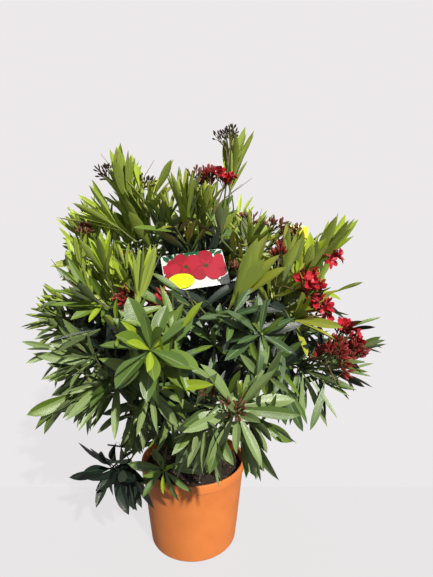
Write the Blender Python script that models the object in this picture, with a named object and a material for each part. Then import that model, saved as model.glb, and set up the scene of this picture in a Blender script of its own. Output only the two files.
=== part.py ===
"""Potted oleander: a bushy shrub in its round nursery pot, in metres, +Z up, with its front towards -Y.

The origin is the middle of the pot's flat underside. A short trunk stands on the compost and forks into
canes, each cane forks into boughs, and each bough ends where it enters one mass of foliage. A mass is a
stem with side shoots, whorls of three leaves near their tips and, on some tips, a truss of buds.
"""
import math
import random
from collections import namedtuple

import bmesh
import bpy
from mathutils import Matrix, Vector
from mathutils.bvhtree import BVHTree

UP = Vector((0, 0, 1))
GAP = 0.0003  # between pieces that touch
CLEARANCE = 0.0008  # from a leaf or twig to any other node

# Pot: a turned plastic pot with a thicker band round its rim and drain holes in its floor.
POT_HEIGHT = 0.195
POT_RIM_RADIUS = 0.120
POT_FOOT_RADIUS = 0.100
POT_WALL = 0.0025
POT_FLOOR = 0.004
POT_EDGE = 0.003  # rounding of the foot and of the rim
EDGE_CUT = 0.3  # share of a rounding that its middle point stands in from the sharp corner
RIM_BAND_HEIGHT = 0.022
RIM_BAND_STEP = 0.0028
ROUND_STEPS = 36
DRAIN_HOLES = 4
DRAIN_HOLE_SIDES = 8
DRAIN_HOLE_RADIUS = 0.006
DRAIN_CIRCLE_RADIUS = 0.064

# Compost: it fills the pot to just under the rim and is flat where the trunk stands.
SOIL_TOP = 0.178
SOIL_SEAT_RADIUS = 0.042
SOIL_LUMPS = 0.0022
SOIL_SHOULDER = 0.75  # share of the radius out to which it lies level
SOIL_DIP = 0.004  # from there down to where it meets the wall

# Trunk: the short stool that the canes rise from.
TRUNK_TOP = 0.228
TRUNK_TOP_RADIUS = 0.024
TRUNK_FLARE_RADIUS = 0.037
TRUNK_LEAN = 0.003
TRUNK_SIDES = 12
TRUNK_RINGS = (0, 0.12, 0.3, 0.6, 1)  # shares of its height
TRUNK_TAPER = 0.06
FLARE_FALL = 5  # power by which the root flare falls away
LOBES = 4  # of the root flare
LOBE_DEPTH = 0.10
LOBE_HEIGHT = 0.4  # share of the trunk's height up to which the lobes show
LOBE_TURN = 0.6

# Canes and boughs stand on the flat top of what carries them, round a circle on it.
PEG_CIRCLE = 0.72  # radius of that circle, as a share of the carrier's radius
CANE_SIDES = 5
CANE_TAPER = 0.88
BOUGH_SIDES = 4
BOUGH_TAPER = 0.86
LIMB_STEPS = 4
COURSE_STEPS = 7  # along the way from a fork to a mass's leading tip
BOUGH_SHARE = 0.4  # of that way is the bough, and the rest is the mass's stem
LIMB_PULL = 0.9  # how far a limb keeps to its first and last heading

# Shoots and leaves.
STEM_SIDES = 3
STEM_FOOT_SHARE = 0.92  # of its bough's tip radius
STEM_TIP_RADIUS = 0.0016
SIDE_SHOOT_STEPS = 2
SIDE_SHOOT_LENGTH = 0.105
SIDE_SHOOT_RADIUS = 0.0021
SHOOT_ZONE = (0.25, 0.75)  # shares of the stem between which side shoots leave it
SHOOT_EVEN = 0.4  # share of the stem at which a side shoot has its plain length
SHOOT_GAIN = 0.6  # its gain in length for each step of its foot past that
SHOOT_RISE = 0.10
SHOOT_TURN_UP = 0.35
SHOOT_TRIES = ((0, 1), (25, 1), (-25, 1), (0, 0.75), (50, 0.9), (-50, 0.9), (0, 0.6), (90, 0.75))
GOLDEN_ANGLE = math.radians(137.5)
WHORL_LEAVES = 3
WHORL_GAP = 0.026
FIRST_WHORL = 0.003  # from the tip back to the first whorl
WHORL_GROWTH = 0.035  # distance from the tip over which leaves reach their full size and tilt
TIP_TILT = math.radians(20)
TILT_SPREAD = 0.10
LEAF_LENGTH = 0.122
LEAF_WIDTH = 0.033
YOUNG_LENGTH = 0.74  # shares that the leaves at the tip have of the full size
YOUNG_WIDTH = 0.80
YOUNG_CURL = 0.04
GROWN_CURL = 0.16
LEAF_THICKNESS = 0.0018
LEAF_FOLD = 0.0030  # how far the two edges stand above the midrib
LEAF_WIDEST = 0.46  # along the leaf
WHORL_TURNS = (0, 0.5, -0.5)  # each whorl's turn from the middles of its shoot's three sides
FOOT_STAGGER = 0.004  # between the feet of a whorl's leaves
FOOT_SINK = 0.3  # share of the shoot's radius that a leaf's foot lies behind its centre
FOOT_NECK = 0.010  # of a leaf's foot that may meet its neighbours
LEAF_TRIES = ((0, 1), (0.35, 1), (-0.35, 1), (0, 0.8), (0.35, 0.8), (-0.35, 0.8))
BUD_COUNT = 3
BUD_SPLAY = math.radians(44)
BUD_LENGTH = 0.022
BUD_WIDTH = 0.0085
BUD_SINK = (0.003, 0.007)  # of every other bud's foot below the top of its stalk
TRUSS_STALK = 0.042
TRUSS_SINK = 0.004  # of the stalk into the tip that it stands on
TRUSS_LIFT = 0.4
TRUSS_TAPER = (0.9, 0.85, 0.8)  # shares of the tip's radius
CELL_MIDDLE = 0.040  # from a mass's leading tip back to the middle of the space that it keeps to
SHARP_ANGLE = math.radians(40)
SEED = 20

Cane = namedtuple("Cane", "name fork")
CANES = (
    Cane("cane_front", (0.010, -0.100, 0.400)),
    Cane("cane_left", (-0.100, -0.045, 0.400)),
    Cane("cane_right", (0.120, -0.045, 0.410)),
    Cane("cane_high", (0.010, -0.005, 0.530)),
    Cane("cane_back_left", (-0.080, 0.100, 0.410)),
    Cane("cane_back_right", (0.080, 0.110, 0.420)),
)

# One row a mass: the limb that its bough stands on, the place of its leading tip (right, back, up), the
# number of its side shoots, their splay from the stem and the turn of the first one in degrees, how far
# the leading tip turns upwards, how wide its whorls open in degrees, how far the leaves hang, and the
# number of shoots that end in a truss.
Mass = namedtuple("Mass", "name carrier tip shoots splay turn lift open droop trusses")
MASSES = (
    Mass("leader", "cane_high", (0.086, 0.000, 0.815), 1, 22, 200, 1.2, 42, 0.00, 1),
    Mass("high_left", "cane_high", (-0.116, -0.050, 0.752), 3, 26, 30, 1.4, 52, 0.00, 1),
    Mass("high_centre", "cane_high", (-0.006, -0.085, 0.750), 3, 34, 60, 1.4, 58, 0.00, 1),
    Mass("high_right", "cane_high", (0.120, -0.070, 0.690), 3, 40, 100, 0.8, 62, 0.05, 1),
    Mass("upper_left", "cane_back_left", (-0.180, 0.010, 0.705), 3, 40, 80, 0.5, 66, 0.05, 0),
    Mass("left_shoulder", "cane_left", (-0.148, -0.130, 0.635), 3, 36, 20, 1.0, 60, 0.05, 1),
    Mass("left_edge", "cane_left", (-0.228, 0.000, 0.550), 4, 44, 50, 0.2, 74, 0.12, 0),
    Mass("left_low", "cane_left", (-0.182, -0.140, 0.480), 4, 46, 140, 0.0, 84, 0.25, 0),
    Mass("left_hanging", "cane_front", (-0.100, -0.195, 0.408), 3, 44, 100, -0.4, 84, 0.38, 0),
    Mass("front_rosette", "cane_front", (-0.048, -0.290, 0.545), 4, 40, 150, 0.2, 80, 0.10, 0),
    Mass("front_low", "cane_front", (0.078, -0.285, 0.450), 4, 42, 40, 0.0, 82, 0.12, 1),
    Mass("centre", "cane_front", (0.060, -0.225, 0.585), 3, 40, 0, 0.4, 74, 0.10, 0),
    Mass("middle_right", "cane_right", (0.155, -0.225, 0.500), 3, 42, 60, 0.2, 80, 0.15, 0),
    Mass("right_front", "cane_right", (0.195, -0.120, 0.605), 3, 32, 40, 0.5, 56, 0.05, 1),
    Mass("right_shoulder", "cane_right", (0.250, -0.020, 0.650), 3, 32, 80, 0.9, 52, 0.05, 1),
    Mass("right_low", "cane_right", (0.280, -0.105, 0.455), 4, 46, 10, 0.0, 84, 0.15, 2),
    Mass("back_left", "cane_back_left", (-0.195, 0.190, 0.560), 3, 46, 0, 0.3, 76, 0.10, 1),
    Mass("back_left_low", "cane_back_left", (-0.140, 0.205, 0.380), 3, 48, 60, -0.2, 84, 0.30, 0),
    Mass("back_top", "cane_back_right", (0.030, 0.120, 0.735), 3, 36, 30, 1.0, 62, 0.05, 0),
    Mass("back_middle", "cane_back_right", (0.010, 0.275, 0.530), 3, 44, 90, 0.2, 78, 0.10, 0),
    Mass("back_right", "cane_back_right", (0.205, 0.165, 0.570), 3, 46, 20, 0.3, 76, 0.10, 1),
    Mass("back_right_low", "cane_back_right", (0.155, 0.205, 0.390), 3, 48, 120, -0.2, 84, 0.30, 0),
    Mass("pot_left", "trunk", (-0.166, -0.105, 0.242), 1, 36, 210, -0.3, 84, 0.35, 0),
    Mass("pot_front", "trunk", (-0.070, -0.156, 0.305), 1, 34, 90, -0.2, 84, 0.15, 0),
)

# Labels: each is a plastic card that hangs from a loop round a bough.
Label = namedtuple("Label", "name bough width height centre tilt turn roll")
LABELS = (
    Label("label_picture", "high_centre", 0.122, 0.084, (0.014, -0.125, 0.652), 42, 4, 9),
    Label("label_yellow", "right_shoulder", 0.056, 0.086, (0.232, 0.030, 0.690), 8, 6, -4),
)
LABEL_THICKNESS = 0.0012
LABEL_CORNER = 0.006
LOOP_WALL = 0.0016
LOOP_HEIGHT = 0.008
LOOP_SIDES = 8
STRAP_WIDTH = 0.007
STRAP_THICKNESS = 0.0018
STRAP_DROP = 0.30  # share of the card's height from its middle down to where the strap starts

Station = namedtuple("Station", "centre heading radius")
Leaf = namedtuple("Leaf", "foot heading upper length width thickness fold curl")


def clear_scene():
    for item in list(bpy.data.objects):
        bpy.data.objects.remove(item, do_unlink=True)


def make_material(name, colour, roughness):
    material = bpy.data.materials.new(name)
    material.use_nodes = True
    shader = material.node_tree.nodes["Principled BSDF"]
    shader.inputs["Base Color"].default_value = (*colour, 1)
    shader.inputs["Roughness"].default_value = roughness
    shader.inputs["Metallic"].default_value = 0
    material.diffuse_color = (*colour, 1)
    return material


def add_object(name, bm, material):
    mesh = bpy.data.meshes.new(name)
    bm.to_mesh(mesh)
    bm.free()
    mesh.materials.append(material)
    item = bpy.data.objects.new(name, mesh)
    bpy.context.scene.collection.objects.link(item)
    return item


# Shapes


def turned(outline):
    """Turn a closed outline of (radius, height) points about +Z into a closed body."""
    bm = bmesh.new()
    verts = [bm.verts.new((radius, 0, height)) for radius, height in outline]
    edges = [bm.edges.new(pair) for pair in zip(verts, verts[1:])]
    if outline[0][0] > 0:
        edges.append(bm.edges.new((verts[-1], verts[0])))
    bmesh.ops.spin(bm, geom=verts + edges, cent=(0, 0, 0), axis=(0, 0, 1), angle=math.tau,
                   steps=ROUND_STEPS, use_merge=True)
    bmesh.ops.remove_doubles(bm, verts=bm.verts, dist=1e-6)
    bmesh.ops.recalc_face_normals(bm, faces=bm.faces)
    return bm


def add_tube(bm, stations, sides):
    """Skin a closed tube through its stations, with flat ends."""
    centre, heading, radius = stations[0]
    start = Matrix.Translation(centre) @ heading.to_track_quat("Z", "Y").to_matrix().to_4x4()
    ring = bmesh.ops.create_circle(bm, segments=sides, radius=radius, matrix=start)["verts"]
    edges = list({edge for vert in ring for edge in vert.link_edges})
    faces = bmesh.ops.edgeloop_fill(bm, edges=edges)["faces"]
    for station in stations[1:]:
        grown = bmesh.ops.extrude_edge_only(bm, edges=edges)["geom"]
        ring = [piece for piece in grown if isinstance(piece, bmesh.types.BMVert)]
        edges = [piece for piece in grown if isinstance(piece, bmesh.types.BMEdge)]
        faces += [piece for piece in grown if isinstance(piece, bmesh.types.BMFace)]
        turn = heading.rotation_difference(station.heading).to_matrix().to_4x4()
        size = Matrix.Scale(station.radius / radius, 4)
        move = Matrix.Translation(station.centre) @ turn @ size @ Matrix.Translation(-centre)
        bmesh.ops.transform(bm, matrix=move, verts=ring)
        centre, heading, radius = station
    faces += bmesh.ops.edgeloop_fill(bm, edges=edges)["faces"]
    bmesh.ops.recalc_face_normals(bm, faces=faces)


def tube(stations, sides):
    bm = bmesh.new()
    add_tube(bm, stations, sides)
    return bm


def leaf_points(leaf):
    """The six corners of a leaf: its foot, tip, two edges, and the upper and under side of its midrib."""
    side = leaf.upper.cross(leaf.heading)
    widest = leaf.foot + leaf.heading * leaf.length * LEAF_WIDEST
    tip = leaf.foot + leaf.heading * leaf.length - leaf.upper * leaf.length * leaf.curl
    edge = widest + leaf.upper * leaf.fold
    half = leaf.upper * leaf.thickness / 2
    return {
        (0, 0, -1): leaf.foot,
        (0, 0, 1): tip,
        (1, 0, 0): edge + side * leaf.width / 2,
        (-1, 0, 0): edge - side * leaf.width / 2,
        (0, 1, 0): widest + half,
        (0, -1, 0): widest - half,
    }


def leaf_solid(leaf):
    """A leaf, bud or petal as an eight-faced solid: a lozenge, thickest along its midrib."""
    bm = bmesh.new()
    corners = leaf_points(leaf)
    for vert in bmesh.ops.create_uvsphere(bm, u_segments=4, v_segments=2, radius=1)["verts"]:
        vert.co = corners[tuple(round(value) for value in vert.co)]
    bmesh.ops.triangulate(bm, faces=bm.faces)
    return bm


def keep_outer_shell(mesh):
    """Keep the largest shell, which drops loose scraps and fills hollows that the union sealed."""
    bm = bmesh.new()
    bm.from_mesh(mesh)
    waiting = set(bm.verts)
    shells = []
    while waiting:
        shell = {waiting.pop()}
        edge_of_growth = list(shell)
        while edge_of_growth:
            vert = edge_of_growth.pop()
            near = {edge.other_vert(vert) for edge in vert.link_edges} & waiting
            waiting -= near
            shell |= near
            edge_of_growth += near
        shells.append(shell)
    outer = max(shells, key=len)
    bmesh.ops.delete(bm, geom=[vert for vert in bm.verts if vert not in outer], context="VERTS")
    bm.to_mesh(mesh)
    bm.free()


def fuse(name, solids, material):
    """Join overlapping closed solids into one body with one Boolean union on a collection."""
    body = add_object(name, solids[0], material)
    group = bpy.data.collections.new(name + "_pieces")
    bpy.context.scene.collection.children.link(group)
    pieces = [add_object(f"{name}_piece", solid, material) for solid in solids[1:]]
    for piece in pieces:
        bpy.context.scene.collection.objects.unlink(piece)
        group.objects.link(piece)
    union = body.modifiers.new("Fuse", "BOOLEAN")
    union.operation = "UNION"
    union.operand_type = "COLLECTION"
    union.collection = group
    union.solver = "EXACT"
    depsgraph = bpy.context.evaluated_depsgraph_get()
    fused = bpy.data.meshes.new_from_object(body.evaluated_get(depsgraph))
    body.modifiers.clear()
    body.data = fused
    keep_outer_shell(fused)
    for piece in pieces:
        bpy.data.objects.remove(piece, do_unlink=True)
    bpy.data.collections.remove(group)
    return body


# Pot and compost


def outer_radius(height):
    """Radius of the pot's outer wall under its rim band."""
    top = POT_HEIGHT - RIM_BAND_HEIGHT
    share = height / top
    return POT_FOOT_RADIUS + (POT_RIM_RADIUS - RIM_BAND_STEP - POT_FOOT_RADIUS) * share


def inner_radius(height):
    return outer_radius(height) - POT_WALL


def make_pot(material):
    band = POT_HEIGHT - RIM_BAND_HEIGHT
    half_edge = POT_EDGE / 2
    outline = [
        (0, 0),
        (POT_FOOT_RADIUS - POT_EDGE, 0),
        (POT_FOOT_RADIUS - POT_EDGE * EDGE_CUT, POT_EDGE * EDGE_CUT),
        (outer_radius(POT_EDGE), POT_EDGE),
        (outer_radius(band), band),
        (POT_RIM_RADIUS - RIM_BAND_STEP * EDGE_CUT, band + RIM_BAND_STEP * EDGE_CUT),
        (POT_RIM_RADIUS, POT_HEIGHT - half_edge),
        (POT_RIM_RADIUS - half_edge, POT_HEIGHT),
        (inner_radius(POT_HEIGHT) + half_edge * EDGE_CUT, POT_HEIGHT),
        (inner_radius(POT_HEIGHT), POT_HEIGHT - half_edge),
        (inner_radius(POT_FLOOR), POT_FLOOR),
        (0, POT_FLOOR),
    ]
    pot = add_object("pot", turned(outline), material)
    for hole in range(DRAIN_HOLES):
        angle = math.tau * hole / DRAIN_HOLES
        centre = Vector((math.cos(angle), math.sin(angle), 0)) * DRAIN_CIRCLE_RADIUS
        drill = bmesh.new()
        bmesh.ops.create_cone(drill, cap_ends=True, segments=DRAIN_HOLE_SIDES, radius1=DRAIN_HOLE_RADIUS,
                              radius2=DRAIN_HOLE_RADIUS, depth=POT_FLOOR * 4,
                              matrix=Matrix.Translation(centre))
        cutter = add_object(f"pot_drill_{hole + 1}", drill, material)
        cutter.hide_render = True
        cutter.display_type = "WIRE"
        cut = pot.modifiers.new(f"Drain hole {hole + 1}", "BOOLEAN")
        cut.operation = "DIFFERENCE"
        cut.object = cutter
    return pot


def make_soil(material):
    draw = random.Random(SEED)
    low = POT_FLOOR + GAP
    rim = SOIL_TOP - SOIL_DIP
    outline = [(0, low), (inner_radius(low) - GAP, low), (inner_radius(rim) - GAP, rim)]
    outline += [(inner_radius(rim) * SOIL_SHOULDER, SOIL_TOP), (SOIL_SEAT_RADIUS, SOIL_TOP), (0, SOIL_TOP)]
    bm = turned(outline)
    for vert in bm.verts:
        if vert.co.z > SOIL_TOP - GAP and vert.co.xy.length > SOIL_SEAT_RADIUS + GAP:
            vert.co.z += draw.uniform(-SOIL_LUMPS, SOIL_LUMPS)
    bmesh.ops.triangulate(bm, faces=bm.faces)
    return add_object("soil", bm, material)


# Limbs


def bend(start, heading, end, aim, steps):
    """Points and headings of a curve that leaves start along heading and reaches end along aim."""
    reach = (end - start).length * LIMB_PULL
    course = []
    for step in range(steps + 1):
        t = step / steps
        point = (start * (2 * t**3 - 3 * t**2 + 1) + heading * reach * (t**3 - 2 * t**2 + t)
                 + end * (3 * t**2 - 2 * t**3) + aim * reach * (t**3 - t**2))
        slope = (start * (6 * t**2 - 6 * t) + heading * reach * (3 * t**2 - 4 * t + 1)
                 + end * (6 * t - 6 * t**2) + aim * reach * (3 * t**2 - 2 * t))
        course.append((point, slope.normalized()))
    return course


def tapered(course, foot_radius, tip_radius):
    """Give the points of a course radii that fall evenly from its foot to its tip."""
    last = len(course) - 1
    return [Station(point, heading, foot_radius + (tip_radius - foot_radius) * index / last)
            for index, (point, heading) in enumerate(course)]


def pegs(top, targets):
    """Where limbs stand on a carrier's flat top, each on the side that it grows towards.

    top is the carrier's last station. Returns the places in the order of targets, and their radius.
    """
    across = top.heading.orthogonal().normalized()
    along = top.heading.cross(across)
    bearings = []
    for target in targets:
        way = Vector(target) - top.centre
        bearings.append(math.atan2(way.dot(along), way.dot(across)))
    order = sorted(range(len(targets)), key=lambda index: bearings[index])
    pitch = math.tau / len(targets)
    offsets = [bearings[index] - place * pitch for place, index in enumerate(order)]
    start = math.atan2(sum(map(math.sin, offsets)), sum(map(math.cos, offsets)))
    circle = top.radius * PEG_CIRCLE
    places = {}
    for place, index in enumerate(order):
        angle = start + place * pitch
        sideways = across * math.cos(angle) + along * math.sin(angle)
        places[index] = top.centre + sideways * circle + top.heading * GAP
    radius = circle * math.sin(pitch / 2) - GAP
    return [places[index] for index in range(len(targets))], radius


def trunk_stations():
    """The trunk's stations: a root flare on the compost, then a short taper to its flat top."""
    foot = SOIL_TOP + GAP
    flare = TRUNK_FLARE_RADIUS - TRUNK_TOP_RADIUS
    stations = []
    for share in TRUNK_RINGS:
        radius = TRUNK_TOP_RADIUS * (1 + TRUNK_TAPER * (1 - share)) + flare * (1 - share) ** FLARE_FALL
        centre = Vector((TRUNK_LEAN * share, 0, foot + (TRUNK_TOP - foot) * share))
        stations.append(Station(centre, UP, radius))
    return stations


def aim_of(fork, row):
    """The way that a mass's leading tip points."""
    outwards = (Vector(row.tip) - fork).normalized()
    return (outwards + UP * row.lift).normalized()


def grow_limbs():
    """Work out the stations of the trunk, canes and boughs, and of each mass's own stem."""
    limbs = {"trunk": trunk_stations()}
    stems = {}
    for carrier in ["trunk"] + [cane.name for cane in CANES]:
        top = limbs[carrier][-1]
        canes = [cane for cane in CANES if carrier == "trunk"]
        rows = [row for row in MASSES if row.carrier == carrier]
        targets = [cane.fork for cane in canes] + [row.tip for row in rows]
        places, radius = pegs(top, targets)
        for cane, foot in zip(canes, places):
            fork = Vector(cane.fork)
            aim = ((fork - foot).normalized() + UP).normalized()
            course = bend(foot, top.heading, fork, aim, LIMB_STEPS)
            limbs[cane.name] = tapered(course, radius, radius * CANE_TAPER)
        for row, foot in zip(rows, places[len(canes):]):
            course = bend(foot, top.heading, Vector(row.tip), aim_of(top.centre, row), COURSE_STEPS)
            split = round(COURSE_STEPS * BOUGH_SHARE)
            tip_radius = radius * BOUGH_TAPER
            limbs["bough_" + row.name] = tapered(course[:split + 1], radius, tip_radius)
            point, heading = course[split]
            stem = [(point + heading * GAP, heading)] + course[split + 1:]
            stems[row.name] = tapered(stem, tip_radius * STEM_FOOT_SHARE, STEM_TIP_RADIUS)
    return limbs, stems


def make_trunk(stations, material):
    bm = tube(stations, TRUNK_SIDES)
    foot = stations[0].centre.z
    for vert in bm.verts:
        depth = max(0, 1 - (vert.co.z - foot) / (TRUNK_TOP - foot) / LOBE_HEIGHT)
        angle = math.atan2(vert.co.y, vert.co.x)
        swell = 1 + LOBE_DEPTH * depth * math.cos(LOBES * angle + LOBE_TURN)
        vert.co.x *= swell
        vert.co.y *= swell
    return add_object("trunk", bm, material)


# Foliage


def place_along(stations, back):
    """Point, heading and radius at a distance back from the last station."""
    for after, before in zip(stations[::-1], stations[-2::-1]):
        stride = (after.centre - before.centre).length
        if back <= stride:
            share = back / stride
            return Station(after.centre.lerp(before.centre, share),
                           after.heading.lerp(before.heading, share).normalized(),
                           after.radius + (before.radius - after.radius) * share)
        back -= stride
    return stations[0]


def grow_shoots(row, stem, twig_fits):
    """The mass's stem and its side shoots, which leave it about a golden angle apart and turn up."""
    draw = random.Random(SEED + MASSES.index(row))
    length = sum((b.centre - a.centre).length for a, b in zip(stem, stem[1:]))
    low, high = SHOOT_ZONE
    shoots = [stem]
    for index in range(row.shoots):
        share = low + (high - low) * (index + 0.5) / row.shoots
        foot = place_along(stem, length * share)
        splay = math.radians(row.splay) * draw.uniform(0.9, 1.15)
        full_reach = SIDE_SHOOT_LENGTH * draw.uniform(0.8, 1.15)
        full_reach += length * (share - SHOOT_EVEN) * SHOOT_GAIN
        for turn, trim in SHOOT_TRIES:
            bearing = math.radians(row.turn + turn) + index * GOLDEN_ANGLE
            across = Matrix.Rotation(bearing, 3, foot.heading) @ foot.heading.orthogonal().normalized()
            way = foot.heading * math.cos(splay) + across * math.sin(splay)
            reach = full_reach * trim
            end = foot.centre + way * reach + UP * reach * SHOOT_RISE
            aim = (way + UP * (SHOOT_TURN_UP - row.droop)).normalized()
            course = bend(foot.centre, way, end, aim, SIDE_SHOOT_STEPS)
            shoot = tapered(course, SIDE_SHOOT_RADIUS, STEM_TIP_RADIUS)
            if twig_fits(shoot):
                shoots.append(shoot)
                break
    return shoots


def blade_of(leaf):
    """The leaf without its neck, which may touch its shoot and the feet of its neighbours."""
    neck = leaf.heading * FOOT_NECK
    return leaf._replace(foot=leaf.foot + neck, length=leaf.length - FOOT_NECK)


def search_tree(bm):
    tree = BVHTree.FromBMesh(bm)
    bm.free()
    return tree


def side_way(shoot, station, bearing):
    """The way out of a shoot at a station, turned by a bearing from the middle of one of its sides."""
    foot = shoot[0].heading
    side = foot.to_track_quat("Z", "Y") @ Vector((0, -1, 0))
    side = foot.rotation_difference(station.heading) @ side
    return Matrix.Rotation(bearing, 3, station.heading) @ side


def leaf_at(station, back, outwards, row, draw):
    """One leaf of a whorl that is a distance back from its shoot's tip."""
    age = 1 - math.exp(-back / WHORL_GROWTH)
    tilt = TIP_TILT + (math.radians(row.open) - TIP_TILT) * age
    tilt += draw.uniform(-TILT_SPREAD, TILT_SPREAD)
    heading = station.heading * math.cos(tilt) + outwards * math.sin(tilt)
    heading = (heading - UP * row.droop * age).normalized()
    face = station.heading * 0.6 + UP * 0.4 - outwards * 0.2
    upper = (face - heading * face.dot(heading)).normalized()
    length = LEAF_LENGTH * (YOUNG_LENGTH + (1 - YOUNG_LENGTH) * age) * draw.uniform(0.9, 1.08)
    width = LEAF_WIDTH * (YOUNG_WIDTH + (1 - YOUNG_WIDTH) * age)
    foot = station.centre - heading * station.radius * FOOT_SINK
    curl = YOUNG_CURL + GROWN_CURL * age * draw.uniform(0.3, 1)
    return Leaf(foot, heading, upper, length, width, LEAF_THICKNESS, LEAF_FOLD, curl)


def grow_leaves(shoots, row, fits):
    """Whorls of leaves back from each shoot's tip, without those that find no room."""
    draw = random.Random(SEED * 100 + MASSES.index(row))
    grown = [search_tree(tube(shoot, STEM_SIDES)) for shoot in shoots]
    leaves = []
    for shoot in shoots:
        for whorl, whorl_turn in enumerate(WHORL_TURNS):
            for number in range(WHORL_LEAVES):
                back = FIRST_WHORL + whorl * WHORL_GAP + number * FOOT_STAGGER
                station = place_along(shoot, back)
                bearing = whorl_turn + math.tau * number / WHORL_LEAVES
                state = draw.getstate()
                for turn, trim in LEAF_TRIES:
                    draw.setstate(state)
                    outwards = side_way(shoot, station, bearing + turn)
                    leaf = leaf_at(station, back, outwards, row, draw)
                    leaf = leaf._replace(length=leaf.length * trim)
                    blade = search_tree(leaf_solid(blade_of(leaf)))
                    if fits(leaf) and not any(blade.overlap(other) for other in grown):
                        leaves.append(leaf)
                        grown.append(blade)
                        break
    return leaves


def grow_trusses(shoots, row, fits, twig_fits):
    """Trusses of buds that stand on a short stalk above the first shoots' tips."""
    draw = random.Random(SEED * 300 + MASSES.index(row))
    stalks = []
    buds = []
    for shoot in shoots[:row.trusses]:
        tip = shoot[-1]
        across = tip.heading.orthogonal().normalized()
        way = (tip.heading + UP * TRUSS_LIFT).normalized()
        top = tip.centre + way * TRUSS_STALK
        centres = (tip.centre - tip.heading * TRUSS_SINK, top.lerp(tip.centre, 0.5), top)
        stalk = [Station(centre, way, tip.radius * share)
                 for centre, share in zip(centres, TRUSS_TAPER)]
        if not twig_fits(stalk):
            continue
        stalks.append(stalk)
        for number in range(BUD_COUNT):
            splay = BUD_SPLAY * draw.uniform(0.6, 1)
            bearing = math.tau * number / BUD_COUNT + draw.uniform(0, 0.5)
            outwards = Matrix.Rotation(bearing, 3, way) @ across
            outwards = (outwards - way * outwards.dot(way)).normalized()
            heading = way * math.cos(splay) + outwards * math.sin(splay)
            upper = heading.orthogonal().normalized()
            foot = top - way * BUD_SINK[number % 2]
            bud = Leaf(foot, heading, upper, BUD_LENGTH, BUD_WIDTH, BUD_WIDTH, 0, 0)
            buds += [bud] if fits(bud) else []
    return stalks, buds


def space_test(row, centres, obstacles, stems):
    """A test of whether a leaf keeps to its mass's space, clear of every limb, the pot and the labels."""
    own = centres[row.name]
    walls = [((own + other) / 2, (other - own).normalized())
             for name, other in centres.items() if name != row.name]

    def inside(points):
        return all((point - middle).dot(normal) < -CLEARANCE
                   for point in points for middle, normal in walls)

    def clear(points):
        return all(obstacles.find_nearest(point, CLEARANCE * 2)[0] is None for point in points)

    def fits(leaf):
        foot, tip, left, right, upper, under = leaf_points(leaf).values()
        if not inside((foot, tip, left, right, upper, under)):
            return False
        if search_tree(leaf_solid(leaf)).overlap(obstacles):
            return False
        blade = search_tree(leaf_solid(blade_of(leaf)))
        if any(blade.overlap(stem) for stem in stems):
            return False
        samples = [tip, left, right, upper, foot.lerp(upper, 0.5), tip.lerp(upper, 0.5),
                   tip.lerp(left, 0.5), tip.lerp(right, 0.5), foot.lerp(left, 0.5),
                   foot.lerp(right, 0.5)]
        return clear(samples)

    def twig_fits(shoot):
        points = [station.centre for station in shoot[1:]]
        if not inside(points) or not clear(points):
            return False
        if search_tree(tube(shoot, STEM_SIDES)).overlap(obstacles):
            return False
        young = search_tree(tube(shoot[1:], STEM_SIDES))
        return not any(young.overlap(stem) for stem in stems)

    return fits, twig_fits


def make_mass(row, stem, centres, obstacles, stems, material):
    fits, twig_fits = space_test(row, centres, obstacles, stems)
    shoots = grow_shoots(row, stem, twig_fits)
    leaves = grow_leaves(shoots, row, fits)
    stalks, buds = grow_trusses(shoots, row, fits, twig_fits)
    solids = [tube(stations, STEM_SIDES) for stations in shoots + stalks]
    solids += [leaf_solid(leaf) for leaf in leaves + buds]
    return fuse("mass_" + row.name, solids, material)


# Labels


def card_place(label):
    turn = (Matrix.Rotation(math.radians(label.turn), 4, "Z")
            @ Matrix.Rotation(math.radians(-label.tilt), 4, "X")
            @ Matrix.Rotation(math.radians(-label.roll), 4, "Y"))
    return Matrix.Translation(label.centre) @ turn


def card_solid(label):
    """The card: a thin plate with rounded corners, upright in its own X and Z before it is placed."""
    bm = bmesh.new()
    bmesh.ops.create_cube(bm, size=1, matrix=Matrix.Diagonal(
        (label.width, LABEL_THICKNESS, label.height, 1)))
    corners = [edge for edge in bm.edges
               if abs(edge.verts[0].co.y - edge.verts[1].co.y) > LABEL_THICKNESS / 2]
    bmesh.ops.bevel(bm, geom=corners, offset=LABEL_CORNER, segments=3, profile=0.5,
                    affect="EDGES", material=-1)
    bmesh.ops.transform(bm, matrix=card_place(label), verts=bm.verts)
    return bm


def loop_solid(station):
    """A short sleeve round a bough, a gap clear of it all round."""
    bore = station.radius + GAP * 2
    frame = (Matrix.Translation(station.centre)
             @ station.heading.to_track_quat("Z", "Y").to_matrix().to_4x4())
    bm = bmesh.new()
    section = [(bore, -1), (bore + LOOP_WALL, -1), (bore + LOOP_WALL, 1), (bore, 1)]
    verts = [bm.verts.new((radius, 0, half * LOOP_HEIGHT / 2)) for radius, half in section]
    edges = [bm.edges.new((verts[i], verts[(i + 1) % 4])) for i in range(4)]
    bmesh.ops.spin(bm, geom=verts + edges, cent=(0, 0, 0), axis=(0, 0, 1), angle=math.tau,
                   steps=LOOP_SIDES, use_merge=True)
    bmesh.ops.recalc_face_normals(bm, faces=bm.faces)
    bmesh.ops.transform(bm, matrix=frame, verts=bm.verts)
    return bm


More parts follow.
